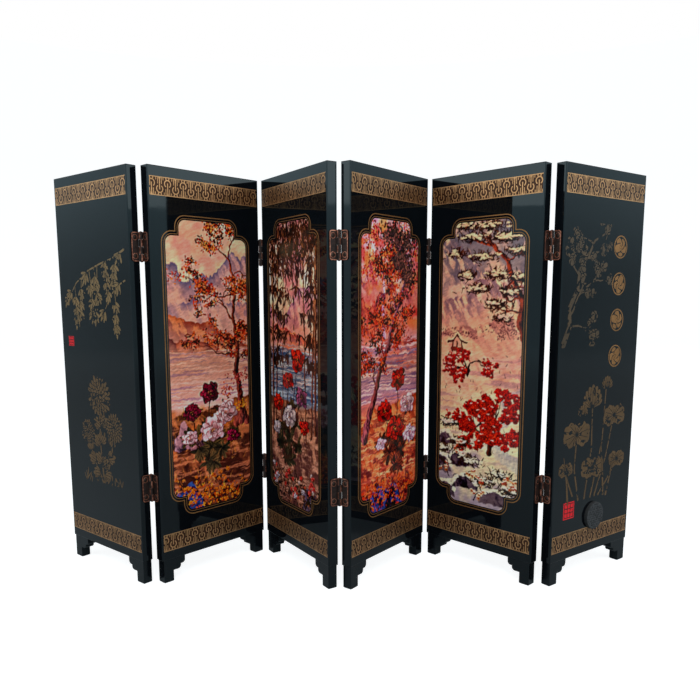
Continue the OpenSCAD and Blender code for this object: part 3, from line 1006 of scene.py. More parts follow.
# %% Paint the lake
def autumn_lake(c):
    c.wash([(0, tone(96, 62, 40)), (40, tone(140, 98, 62)), (62, tone(214, 168, 128)),
            (95, tone(240, 206, 176)), (125, tone(236, 190, 170)), (171, tone(226, 176, 160))])
    c.mottle(tone(250, 226, 204), 16, 0.7, v0=60)
    c.mottle(tone(198, 152, 160), 12, 0.45, v0=105)
    c.ridge(c.skyline(144, 16, 22, 0.15), tone(172, 158, 176), tone(112, 108, 144), 16)
    c.ridge(c.skyline(128, 9, 14, -0.12), tone(196, 160, 160), tone(120, 112, 148), 12)
    c.mottle(tone(246, 216, 196), 14, 0.6, v0=100, v1=132)
    c.ridge(c.skyline(111, 7, 18, -0.38), tone(226, 148, 92), tone(154, 82, 64), 14)
    c.ridge(c.skyline(97, 3, 9, -0.30), tone(206, 120, 84), tone(120, 64, 60), 5)
    lake = eased(96, 92, c.v) * eased(60, 64, c.v)
    c.glaze(tone(238, 204, 180), lake * 0.75)
    c.streaks(tone(252, 232, 210), 62, 96, 0.8)
    c.streaks(tone(170, 144, 172), 64, 95, 0.55, (20, 0.9), 0.55, 0.8)
    c.ridge(c.skyline(62, 3, 12, 0.12), tone(168, 116, 66), tone(90, 56, 38), 60)
    c.mottle(tone(206, 132, 62), 7, 0.6, v0=30, v1=62)
    c.mottle(tone(64, 40, 32), 9, 0.9, 0.45, 0.75, v1=48)
    c.streaks(tone(190, 140, 88), 8, 60, 0.5, (9, 1.4))
    c.grass(12, 60, 260, 3.0, [tone(96, 70, 34), tone(170, 120, 50), tone(60, 44, 30), tone(210, 150, 70)])
    pavilion(c)
    autumn_maple(c)
    c.rock(8, 37, 15, 15, tone(176, 150, 140), tone(112, 88, 92), tone(44, 34, 44))
    c.rock(19, 35, 12, 8, tone(160, 130, 116), tone(92, 68, 70), tone(36, 26, 34))
    white = tone(196, 138, 128), tone(236, 206, 190), tone(255, 240, 222)
    plum = tone(36, 12, 26), tone(104, 26, 50), tone(160, 48, 78)
    heads = [(27, 70, 7.5, plum), (39, 57, 8.5, white), (14, 59, 6.5, plum), (29, 47, 9.5, white),
             (12, 44, 5.5, white), (44, 41, 5.0, plum)]
    greens = [tone(24, 26, 26), tone(46, 48, 36), tone(84, 80, 50), tone(128, 108, 62)]
    c.peony((27, 28), heads, tone(96, 70, 46), greens)
    c.rock(10, 0, 24, 14, tone(64, 86, 118), tone(26, 40, 66), tone(8, 14, 28))
    rust = [tone(34, 18, 16), tone(110, 50, 22), tone(190, 90, 26), tone(236, 146, 50)]
    c.clump((14, 8), (24, 9), 190, 1.7, 1.0, rust)
    c.clump((42, 5), (26, 8), 190, 1.7, 1.0, rust)
    for _ in range(46):
        c.bloom(c.rng.uniform(0, 46), c.rng.uniform(1, 22), c.rng.uniform(1.0, 1.9), tone(150, 56, 14),
                tone(214, 104, 26), tone(246, 156, 56), 2)
    c.print_off((1.26, 1.01, 1.20), (0.84, 0.67, 0.64), (1.12, 0.91, 0.81), 0.6)


def pavilion(c):
    """Two roofs with turned-up eaves, one over the other, on four posts."""
    middle = 13
    for base, wide in ((100.5, 8.5), (104.2, 6.0)):
        c.line([(middle - wide / 2, base + 0.8), (middle - wide / 4, base), (middle + wide / 4, base),
                (middle + wide / 2, base + 0.8)], [0.5, 1.1, 1.1, 0.5], tone(92, 58, 60))
        c.line([(middle - wide / 3, base + 0.9), (middle, base + 2.0), (middle + wide / 3, base + 0.9)],
               [0.7, 1.2, 0.7], tone(150, 80, 62))
    for post in (10.5, 12.2, 13.8, 15.5):
        c.line([(post, 97), (post, 100.5)], 0.5, tone(120, 66, 52))


def autumn_maple(c):
    """A maple with its foot on the bank and its limbs over the water."""
    bark, shade = tone(164, 92, 70), tone(58, 30, 30)
    c.line([(47, 49), (50.5, 62)], [5.5, 3.0], bark, shade, grain=1.0)
    c.line([(55, 49), (51, 64)], [4.5, 2.5], bark, shade, grain=1.0)
    trunk = [(51, 50), (50.5, 66), (47.5, 82), (49, 98), (46, 116), (48, 132), (44, 150)]
    limbs = [((49, 92), 2.7, 19, 1.6), ((46.5, 112), 2.35, 20, 1.5), ((47, 104), 0.7, 12, 1.2),
             ((47.5, 128), 2.75, 22, 1.4), ((46, 140), 1.1, 16, 1.2), ((44.5, 148), 2.2, 16, 1.2),
             ((47.5, 84), 0.6, 12, 1.0), ((44, 150), 1.5, 16, 1.2)]
    reds = [tone(60, 28, 26), tone(132, 46, 34), tone(200, 70, 42), tone(228, 112, 58), tone(244, 160, 92)]
    darks = [tone(30, 26, 26), tone(60, 42, 32), tone(84, 54, 34)]
    c.tree(trunk, [5.4, 4.2, 3.5, 3.0, 2.4, 1.9, 1.2], limbs, 0.5, bark, shade, 1.2,
           ((3.8, 3.2), 17, 1.5, 0.9, reds), ((2.8, 2.0), 14, 1.7, 0.8, darks))
    c.clump((51, 78), (9, 6), 70, 1.5, 0.9, [tone(150, 52, 60), tone(214, 84, 84), tone(240, 140, 120)])
    c.clump((38, 70), (8, 3.5), 50, 1.5, 0.9, [tone(160, 60, 50), tone(222, 98, 70), tone(246, 160, 100)])
    c.clump((48, 60), (12, 3), 90, 1.6, 0.9, [tone(150, 82, 26), tone(222, 140, 40), tone(246, 186, 72)])


# %% [markdown]
# ### Second picture: bamboo at dusk
# The upper third is dark: stems of bamboo and leaves that hang in curtains before a pink sky. Below runs a
# blue stream. Red, violet and white peonies stand on tan ground, with small red flowers at the foot.


# %% Paint the stream
def dusk_stream(c):
    rng = c.rng
    c.wash([(0, tone(92, 60, 50)), (30, tone(150, 108, 84)), (60, tone(160, 118, 96)),
            (66, tone(96, 122, 152)), (92, tone(128, 130, 152)), (104, tone(196, 132, 120)),
            (135, tone(206, 132, 116)), (171, tone(150, 84, 84))])
    c.mottle(tone(232, 170, 150), 14, 0.7, v0=98)
    c.mottle(tone(120, 66, 84), 11, 0.6, v0=110)
    c.ridge(c.skyline(122, 8, 18, 0.2), tone(172, 116, 124), tone(120, 78, 104), 12)
    c.ridge(c.skyline(106, 4, 14, -0.2), tone(206, 104, 76), tone(126, 54, 58), 6)
    c.streaks(tone(226, 120, 84), 96, 108, 0.8, (10, 1.0))
    c.streaks(tone(170, 196, 214), 64, 98, 0.9, (14, 0.8))
    c.streaks(tone(46, 74, 116), 64, 96, 0.8, (18, 1.0), 0.5, 0.75)
    c.streaks(tone(220, 196, 190), 70, 98, 0.6, (9, 0.6), 0.6, 0.8)
    c.ridge(c.skyline(63, 3, 12, -0.12), tone(178, 132, 102), tone(100, 66, 56), 90)
    c.streaks(tone(200, 156, 124), 2, 60, 0.6, (8, 1.0))
    c.mottle(tone(78, 50, 48), 8, 0.85, 0.5, 0.78, v1=60)
    c.grass(8, 60, 260, 2.6, [tone(110, 74, 50), tone(66, 44, 38), tone(186, 136, 100), tone(60, 48, 40)])
    dusk_bamboo(c)
    red = tone(90, 6, 10), tone(186, 24, 20), tone(236, 62, 38)
    violet = tone(50, 20, 44), tone(112, 50, 88), tone(164, 96, 138)
    white = tone(130, 112, 128), tone(216, 206, 206), tone(248, 244, 234)
    heads = [(34, 90, 9.0, red), (22, 77, 7.0, red), (38, 68, 7.5, violet), (10, 62, 6.5, red),
             (23, 55, 8.5, white), (41, 50, 6.0, red), (7, 46, 5.0, white)]
    greens = [tone(14, 18, 20), tone(32, 36, 30), tone(62, 64, 46), tone(104, 90, 62)]
    c.peony((21, 30), heads, tone(88, 54, 46), greens)
    c.rock(50, 0, 24, 15, tone(110, 92, 100), tone(54, 44, 58), tone(18, 14, 24))
    earthy = [tone(18, 14, 16), tone(42, 30, 26), tone(84, 52, 40), tone(140, 90, 60)]
    for centre, spread, count in (((16, 14), (22, 9), 190), ((44, 8), (22, 8), 170), ((4, 4), (14, 8), 80)):
        c.clump(centre, spread, count, 2.2, 1.1, earthy)
    scarlet = tone(140, 14, 22), tone(208, 36, 44), tone(244, 104, 92)
    for _ in range(34):
        colours = scarlet if rng.random() < 0.7 else white
        c.bloom(rng.uniform(1, 54), rng.uniform(2, 23), rng.uniform(1.2, 2.6), *colours, 2)
    c.print_off((1.05, 0.99, 1.08), (0.96, 0.83, 0.74), (1.56, 1.64, 1.50), 0.25)


def dusk_bamboo(c):
    """Jointed stems, a fan of leaves at each upper joint, and loose curtains of leaves from the top."""
    rng = c.rng
    dark = [tone(20, 12, 14), tone(40, 24, 22), tone(70, 44, 30), tone(112, 70, 46)]
    for foot, wide, lean in ((49, 1.9, 0.05), (54, 2.6, 0.02), (43.5, 1.4, -0.03), (6, 1.6, 0.06),
                             (2.5, 2.2, 0.02), (14, 1.0, 0.05)):
        u, v = foot, 44 + rng.uniform(-4, 8)
        while v < 175:
            step = rng.uniform(11, 15)
            next_u = u + lean * step + rng.normal(0, 0.2)
            joint = v + step
            c.line([(u, v + 0.4), (next_u, joint - 0.4)], [wide, wide * 0.92], tone(132, 84, 62),
                   tone(44, 24, 26), grain=0.4)
            c.line([(next_u - wide * 0.6, joint), (next_u + wide * 0.6, joint)], 0.5, tone(30, 18, 20))
            for side in (-1, 1) if v > 70 else ():
                angle = SKYWARD + side * rng.uniform(0.5, 1.0)
                length = rng.uniform(7, 14)
                twig = np.array([length * math.cos(angle), length * math.sin(angle) * 0.5])
                c.line([(next_u, joint), twig + (next_u, joint)], [0.6, 0.3], dark[1])
                for share in rng.uniform(0.4, 1.0, 7):
                    at = twig * share + (next_u, joint)
                    c.leaf(*at, rng.normal(-SKYWARD, 0.55), rng.uniform(5, 9), rng.uniform(0.9, 1.5),
                           c.pick(dark, rng.random() * 0.6), c.pick(dark, rng.random()))
            u, v = next_u, joint
    for _ in range(150):
        u, top = rng.uniform(-2, 60), 175 - abs(rng.normal(0, 12))
        length = rng.gamma(3.0, 6.0)
        c.line([(u, top), (u + rng.normal(0, 1.2), top - length)], [0.4, 0.2], dark[1], cover=0.75)
        for share in rng.random(6):
            c.leaf(u + rng.normal(0, 0.8), top - length * share, rng.normal(-SKYWARD, 0.4),
                   rng.uniform(3, 6), rng.uniform(0.7, 1.2), c.pick(dark, rng.random() * 0.6),
                   c.pick(dark, rng.random()), 0.85)


# %% [markdown]
# ### Third picture: a crimson gorge
# The strongest colours of the four. Red and orange woods rise over lilac water, a dark crown hangs in the
# upper right, and a tree leans across from the lower left. The peonies are red and white, and a dark blue
# stone with small flowers closes the foot.


# %% Paint the gorge
def crimson_gorge(c):
    rng = c.rng
    c.wash([(0, tone(70, 36, 36)), (22, tone(150, 78, 46)), (50, tone(216, 128, 76)),
            (64, tone(190, 130, 120)), (72, tone(172, 156, 186)), (98, tone(206, 178, 192)),
            (112, tone(226, 130, 96)), (150, tone(222, 132, 112)), (171, tone(196, 136, 132))])
    c.mottle(tone(240, 170, 140), 12, 0.7, v0=100)
    c.mottle(tone(196, 60, 50), 9, 0.75, 0.45, 0.75, v0=112)
    c.mottle(tone(238, 120, 56), 7, 0.7, 0.5, 0.8, v0=108)
    c.ridge(c.skyline(150, 12, 16, 0.4), tone(214, 128, 112), tone(150, 74, 74), 14)
    c.line([(21, 140), (21.6, 128), (20.6, 118), (22, 106), (21, 96)], [0.8, 1.7, 2.2, 2.8, 4.5],
           tone(244, 226, 228), tone(180, 150, 186), grain=1.6, cover=0.85, soft=0.8)
    c.ridge(c.skyline(130, 9, 12, 0.35), tone(216, 96, 66), tone(120, 38, 48), 9)
    c.ridge(c.skyline(104, 4, 12, -0.25), tone(226, 104, 66), tone(150, 48, 48), 8)
    c.streaks(tone(238, 222, 226), 66, 102, 0.85, (14, 0.8))
    c.streaks(tone(120, 104, 160), 64, 98, 0.7, (18, 0.9), 0.52, 0.78)
    c.streaks(tone(226, 120, 90), 84, 104, 0.6, (8, 0.8), 0.6, 0.8)
    c.ridge(c.skyline(63, 3, 11, 0.15), tone(232, 142, 84), tone(150, 76, 50), 70)
    c.streaks(tone(246, 176, 120), 20, 60, 0.7, (9, 1.0))
    c.streaks(tone(120, 60, 50), 4, 58, 0.7, (7, 1.2), 0.55, 0.78)
    c.mottle(tone(84, 36, 38), 8, 0.85, 0.48, 0.76, v1=32)
    c.grass(10, 58, 240, 2.6, [tone(150, 74, 40), tone(90, 44, 34), tone(230, 140, 80), tone(70, 40, 40)])
    woods = [tone(120, 24, 30), tone(186, 44, 40), tone(226, 84, 50), tone(246, 140, 76)]
    for _ in range(20):
        c.clump((rng.uniform(0, 58), rng.uniform(106, 168)), (9, 6), 75, 1.5, 1.0, woods, cover=0.8)
    leaning_tree(c)
    red = tone(84, 4, 8), tone(182, 14, 14), tone(230, 48, 32)
    white = tone(176, 136, 160), tone(230, 212, 222), tone(252, 246, 246)
    heads = [(37, 78, 8.0, red), (23, 60, 8.0, red), (47, 62, 8.0, white), (34, 48, 9.0, red),
             (50, 43, 7.0, white), (19, 41, 5.0, white)]
    greens = [tone(24, 12, 18), tone(54, 28, 28), tone(98, 52, 36), tone(150, 86, 48)]
    c.peony((36, 26), heads, tone(124, 72, 60), greens)
    c.rock(22, -2, 36, 18, tone(66, 84, 130), tone(26, 34, 70), tone(10, 10, 26))
    embers = [tone(28, 12, 18), tone(94, 26, 28), tone(172, 58, 32), tone(226, 108, 50)]
    for centre, spread, count in (((12, 10), (20, 8), 170), ((40, 9), (24, 8), 190),
                                  ((26, 17), (18, 4), 80)):
        c.clump(centre, spread, count, 1.8, 1.0, embers)
    for _ in range(40):
        c.bloom(rng.uniform(1, 56), rng.uniform(2, 22), rng.uniform(1.0, 2.0), tone(160, 18, 18),
                tone(220, 56, 28), tone(248, 138, 56), 2)
    c.print_off((1.42, 1.11, 1.27), (0.93, 0.72, 0.62), (1.22, 1.30, 1.60), 0.35)


def leaning_tree(c):
    """A tree from low on the left to high on the right, red in its leaves and dark in its crown."""
    bark, shade = tone(156, 96, 100), tone(46, 22, 40)
    trunk = [(3, 46), (7, 58), (13, 70), (17, 82), (25, 96), (30, 110), (38, 124), (43, 136), (50, 148)]
    limbs = [((14, 74), 2.2, 16, 1.3), ((21, 88), 1.9, 18, 1.6), ((28, 104), 0.2, 20, 1.4),
             ((35, 120), 1.9, 20, 1.5), ((43, 134), 0.4, 15, 1.2), ((47, 143), 1.7, 20, 1.4),
             ((31, 110), 2.6, 16, 1.1)]
    reds = [tone(96, 20, 24), tone(176, 46, 36), tone(228, 76, 40), tone(246, 124, 64)]
    darks = [tone(24, 16, 18), tone(46, 30, 30), tone(80, 48, 44)]
    c.tree(trunk, [6.5, 5.0, 4.4, 3.9, 3.4, 3.0, 2.5, 2.0, 1.2], limbs, 0.6, bark, shade, 1.3,
           ((4.2, 3.2), 16, 1.5, 1.0, reds), ((4.2, 2.6), 26, 1.8, 1.0, darks))
    dusky = [tone(16, 13, 14), tone(34, 26, 27), tone(60, 42, 42), tone(116, 70, 56)]
    crown = [((44, 158), (12, 8)), ((37, 149), (8, 6)), ((47, 141), (8, 9)), ((30, 163), (12, 6))]
    for centre, spread in crown:
        c.clump(centre, spread, 280, 1.8, 1.2, dusky)


# %% [markdown]
# ### Fourth picture: a winter pass
# Blue sky and white peaks, a pine with snow on each pad of needles, and a long slope of cream snow with
# lilac shadows. A hut stands at its head, and two plum trees in red flower carry the colour. Snow is
# painted last on everything: short blunt strokes on the upper side.


# %% Paint the pass
def winter_pass(c):
    c.wash([(0, tone(170, 164, 190)), (30, tone(214, 204, 206)), (70, tone(246, 232, 204)),
            (110, tone(240, 222, 200)), (126, tone(160, 166, 196)), (150, tone(120, 138, 178)),
            (171, tone(104, 122, 168))])
    c.mottle(tone(214, 220, 234), 13, 0.85, 0.4, 0.75, v0=120)
    c.mottle(tone(84, 98, 150), 10, 0.5, 0.5, 0.85, v0=128)
    c.ridge(c.skyline(146, 13, 16, -0.3), tone(232, 232, 240), tone(110, 120, 166), 22)
    c.ridge(c.skyline(130, 8, 13, 0.25), tone(240, 234, 232), tone(130, 126, 164), 18)
    c.mottle(tone(236, 220, 210), 13, 0.7, v0=100, v1=128)
    c.ridge(c.skyline(112, 5, 16, 0.2), tone(246, 234, 214), tone(166, 142, 152), 10)
    c.clump((48, 108), (16, 5), 160, 1.4, 0.8, [tone(96, 72, 84), tone(150, 120, 132), tone(214, 196, 196)])
    c.clump((10, 105), (16, 4), 130, 1.4, 0.8,
            [tone(110, 80, 90), tone(160, 130, 138), tone(230, 214, 206)])
    c.ridge(c.skyline(98, 4, 20, -0.18), tone(252, 242, 216), tone(220, 200, 188), 60)
    c.streaks(tone(170, 154, 188), 20, 92, 0.45, (24, 2.4), 0.55, 0.8)
    c.streaks(tone(255, 250, 230), 30, 96, 0.6, (20, 3.0), 0.5, 0.8)
    c.mottle(tone(146, 136, 188), 14, 0.75, 0.48, 0.85, v1=44)
    c.line([(58, 74), (44, 68), (50, 56), (38, 46), (44, 34), (60, 28)], [2, 3, 4.5, 5, 7, 9],
           tone(160, 164, 202), tone(200, 204, 226), grain=1.4, cover=0.7, soft=2)
    c.grass(30, 94, 90, 2.0, [tone(120, 90, 80), tone(90, 70, 80)])
    winter_pine(c)
    snowy_hut(c)
    far_limbs = [((20, 83), 2.0, 11), ((20.5, 85), 1.1, 12), ((20, 82), 2.7, 9)]
    plum_tree(c, (20, 80), far_limbs, 70, (1.2, 2.3), 0.8)
    near_limbs = [((35.5, 41), 2.3, 17), ((36, 45), 1.4, 18), ((36.5, 42), 0.6, 15), ((35.5, 49), 2.0, 14)]
    plum_tree(c, (37, 34), near_limbs, 250, (1.6, 3.3), 1.2)
    winter_stones(c)
    c.print_off((1.00, 0.95, 0.76), (0.98, 0.69, 0.62), (1.21, 0.84, 0.62), 0.25)


def snow(c, u, v, length, width):
    """A short blunt stroke of snow, lilac at one end and cream at the other."""
    lilac, cream = tone(204, 202, 222), tone(251, 247, 240)
    c.leaf(u - length / 2, v, c.rng.normal(0, 0.28), length, width, lilac, cream, 0.93, 3.0)


def snowy_hut(c):
    """Three posts, a low wall, dark eaves, and snow along the roof."""
    for post in (8.5, 12, 15.5):
        c.line([(post, 94), (post, 100)], 1.2, tone(150, 84, 62), tone(70, 40, 40))
    c.line([(8.5, 95.6), (15.5, 95.6)], 2.6, tone(132, 72, 58))
    c.line([(4.8, 99.6), (8.4, 101.0), (12, 104.6), (15.6, 101.0), (19.2, 99.6)], [1.0, 2.4, 1.6, 2.4, 1.0],
           tone(96, 62, 66))
    c.line([(5.4, 100.8), (8.8, 102.2), (12, 105.6), (15.2, 102.2), (18.6, 100.8)],
           [0.7, 1.4, 1.1, 1.4, 0.7], tone(254, 246, 226))


def winter_pine(c):
    """A pine from the right edge, its pads of needles laden with snow."""
    bark, shade = tone(150, 92, 70), tone(50, 28, 34)
    c.line([(60, 100), (55, 112), (57, 124), (50, 136), (46, 148), (36, 156), (24, 160)],
           [5.0, 4.4, 3.6, 3.2, 2.6, 2.0, 1.0], bark, shade, grain=1.3)
    for start, angle, length in (((55, 118), 2.9, 17), ((50, 136), 3.3, 22), ((52, 132), 0.3, 9),
                                 ((46, 148), 0.5, 14), ((40, 153), 2.7, 18), ((36, 156), 1.6, 10),
                                 ((54, 126), 3.6, 13)):
        c.limb(start, angle, length, 1.4, bark, shade, 0.5, 2, 1)
    for pu, pv, wide in ((38, 122, 12), (27, 131, 15), (40, 139, 13), (56, 137, 12), (18, 139, 11),
                         (55, 152, 15), (30, 149, 14), (44, 160, 18), (22, 161, 15), (33, 167, 16),
                         (54, 166, 14), (48, 129, 11), (10, 152, 10), (44, 114, 9), (14, 168, 14)):
        snowy_pad(c, pu, pv, wide)


def snowy_pad(c, pu, pv, wide):
    """A flat pad of needles with snow along its upper side."""
    rng = c.rng
    needles = [tone(26, 20, 22), tone(52, 36, 32), tone(90, 64, 50), tone(140, 102, 76)]
    for _ in range(int(wide * 11)):
        c.leaf(pu + rng.normal(0, wide / 3.2), pv + rng.normal(0, 1.2), rng.normal(SKYWARD, 1.0),
               rng.uniform(2.0, 3.8), 0.6, c.pick(needles, rng.random() * 0.4),
               c.pick(needles, rng.random()), 0.9)
    for _ in range(int(wide * 1.5)):
        snow(c, pu + rng.normal(0, wide / 3.6), pv + 1.5 + rng.normal(0, 0.7), rng.uniform(1.8, 3.4),
             rng.uniform(0.7, 1.3))


def plum_tree(c, foot, limbs, count, size, girth):
    """A plum tree in red flower: dark crooked limbs and blossoms along the twigs."""
    rng = c.rng
    red = tone(140, 4, 8), tone(224, 26, 18), tone(255, 74, 44)
    tips = []
    top = limbs[1][0]
    c.line([foot, ((foot[0] + top[0]) / 2 + girth, (foot[1] + top[1]) / 2), top],
           [3.2 * girth, 2.4 * girth, 1.7 * girth], tone(104, 62, 54), tone(26, 14, 22), grain=1.2)
    for start, angle, length in limbs:
        c.limb(start, angle, length, 1.4 * girth, tone(84, 44, 44), tone(28, 14, 24), 0.6, tips=tips)
    for _ in range(count):
        near = tips[rng.integers(len(tips))] + rng.normal(0, 1.6, 2)
        if rng.random() < 0.4:
            c.clump(near, (2.2, 2.2), 5, 1.5, 1.1, [tone(120, 6, 12), tone(214, 28, 24), tone(250, 96, 70)])
        c.bloom(*near, rng.uniform(*size), *red, 3, 0)
    for tip in tips[::3]:
        snow(c, tip[0], tip[1] + 1.0, rng.uniform(1.4, 2.6), 0.7)


def winter_stones(c):
    """Stones and low shrubs under snow, at the lower left."""
    rng = c.rng
    for pu, pv, wide, tall in ((4, 35, 14, 9), (14, 23, 16, 9), (2, 17, 16, 12), (20, 9, 20, 9),
                               (42, 2, 26, 10), (5, 2, 16, 10)):
        c.rock(pu, pv, wide, tall, tone(120, 104, 130), tone(66, 54, 80), tone(26, 20, 38))
        for angle in rng.uniform(0.35, math.pi - 0.35, int(wide * 2.4)):
            snow(c, pu + wide * 0.48 * math.cos(angle), pv + tall * 0.97 * math.sin(angle),
                 rng.uniform(2.0, 3.8), rng.uniform(1.0, 1.9))
    for pu, pv, wide in ((6, 48, 11), (15, 37, 12), (3, 31, 10), (24, 26, 12), (33, 15, 12), (45, 21, 11),
                         (54, 12, 12)):
        snowy_pad(c, pu, pv, wide)
    twig, shade = tone(70, 44, 48), tone(34, 20, 30)
    petals = tone(140, 18, 28), tone(206, 52, 54), tone(244, 130, 120)
    for foot in ((10, 30), (20, 16), (33, 9), (50, 9), (8, 14), (27, 3), (44, 14), (54, 20)):
        for u, v in c.limb(foot, rng.uniform(0.6, 2.4), 7, 0.7, twig, shade, 0.6, 3, 1):
            c.bloom(u, v, rng.uniform(0.8, 1.4), *petals, 2)
            snow(c, u, v + 0.9, 1.8, 0.8)


# %% [markdown]
# ## Picture plates
# A painting needs a surface that fits its window. The plate is a closed sheet a little thicker than the
# lines, and its front is a fine net of points. Each row of the net runs from the window's left limit to its
# right one at that height, so the net follows the round corners by itself. Every point takes its colour
# from the canvas, and the finish reads those colours and lays a varnish over them: smooth, with a faint
# weave in it.

# %% Make the plates
PLATE = 0.06
NET_STEP = 0.38
LEDGE = 0.02


def window_rows(window, step):
    """Heights from the foot up, each with the window's left and right limit there."""
    r = window.corner
    rounding = [(r - r * math.cos(a), r - r * math.sin(a)) for a in np.linspace(0, math.pi / 2, 15)]

    def stretch(low, high, sides, round_low, round_high):
        start = [(low + up, inset) for up, inset in rounding] if round_low else [(low, 0.0)]
        end = [(high - down, inset) for down, inset in reversed(rounding)] if round_high else [(high, 0.0)]
        count = int((end[0][0] - start[-1][0]) / step) + 1
        straight = [(z, 0.0) for z in np.linspace(start[-1][0], end[0][0], count + 1)[1:-1]]
        return [(z, sides[0] + inset, sides[1] - inset) for z, inset in start + straight + end]

    return (stretch(window.foot, window.hip - LEDGE, window.tab, True, False)
            + stretch(window.hip + LEDGE, window.shoulder - LEDGE, window.body, True, True)
            + stretch(window.shoulder + LEDGE, window.top, window.tab, False, True))


def linear(screen):
    """Screen colours turned into amounts of light."""
    return np.where(screen <= 0.04045, screen / 12.92, ((screen + 0.055) / 1.055) ** 2.4)


def picture_plate(name, panel, canvas, material):
    """The plate of one window, with the canvas's colours at the points of its net."""
    rows = window_rows(opening, NET_STEP)
    across = int((opening.body[1] - opening.body[0]) / NET_STEP)
    net = [(x0 + (x1 - x0) * j / across, z) for z, x0, x1 in rows for j in range(across + 1)]
    plate = Sheets(PLATE)
    plate.add(net)
    left = plate.add([(x0, z) for z, x0, _ in rows], True)
    right = plate.add([(x1, z) for z, _, x1 in rows], True)
    wide = across + 1
    for i in range(len(rows) - 1):
        low, high = i * wide, (i + 1) * wide
        plate.faces += [(low + j, low + j + 1, high + j + 1, high + j) for j in range(across)]
        plate.faces.append((left + i, left + i + 1, right + i + 1, right + i))
        plate.faces.append((left + i, low, high, left + i + 1))
        plate.faces.append((low + across, right + i, right + i + 1, high + across))
    top = len(rows) - 1
    plate.faces.append((left, right, *reversed(range(wide))))
    plate.faces.append((right + top, left + top, *range(top * wide, top * wide + wide)))
    made = plate.piece(name, panel, material)
    spots = np.array([(x, z) for x, _, z in plate.corners]) / MM
    colours = linear(sampled(canvas, spots[:, 0] - opening.body[0], spots[:, 1] - opening.foot))
    paint = made.data.color_attributes.new("paint", "FLOAT_COLOR", "POINT")
    paint.data.foreach_set("color", np.column_stack([colours, np.ones(len(colours))]).ravel())
    return made


varnished = Finish("picture_varnish")
printed = varnished.node("VertexColor", {"layer_name": "paint"})
weave = varnished.noise(0.0006, 2.0)
dimmed = varnished.node("Mix", {"data_type": "RGBA", "blend_type": "MULTIPLY"},
                        {0: 0.12 + 0.25 * weave, 6: printed, 7: (0.72, 0.68, 0.66)}, output=2)
varnished.done(Base_Color=dimmed, Roughness=0.10 + 0.10 * varnished.noise(0.02), IOR=LACQUER_IOR,
               Normal=varnished.bump(weave, 0.00001))
PER_MM = 4
paintings = [(2, 12, autumn_lake), (3, 23, dusk_stream), (4, 34, crimson_gorge), (5, 45, winter_pass)]
for k, seed, paint_it in paintings:
    canvas = Painting(opening.body[1] - opening.body[0], opening.top - opening.foot, PER_MM, seed)
    paint_it(canvas)
    made = picture_plate(f"panel_{k}_picture", k, canvas, varnished.material)
    print(f"panel {k}: {paint_it.__name__} on {len(made.data.vertices)} points")

# %% [markdown]
# ## Drawings cut as stencils
# The gold drawings on the two end panels could be ribbons laid over each other, like the bands, but
# crossing leaves and petals would then melt into one blot. A stencil keeps them apart: the drawing is
# painted in light on a dark canvas, and each petal first wipes a dark rim round itself. Then the sheet is
# cut where the tone crosses one half. Cell by cell of the canvas, the corners that are light and the
# crossings between them make a polygon, and the polygons join into one closed sheet. A crossing keeps a
# little off the corners, so that no polygon has a side of no length.


# %% A stencil
CORNER_GAP = 0.06


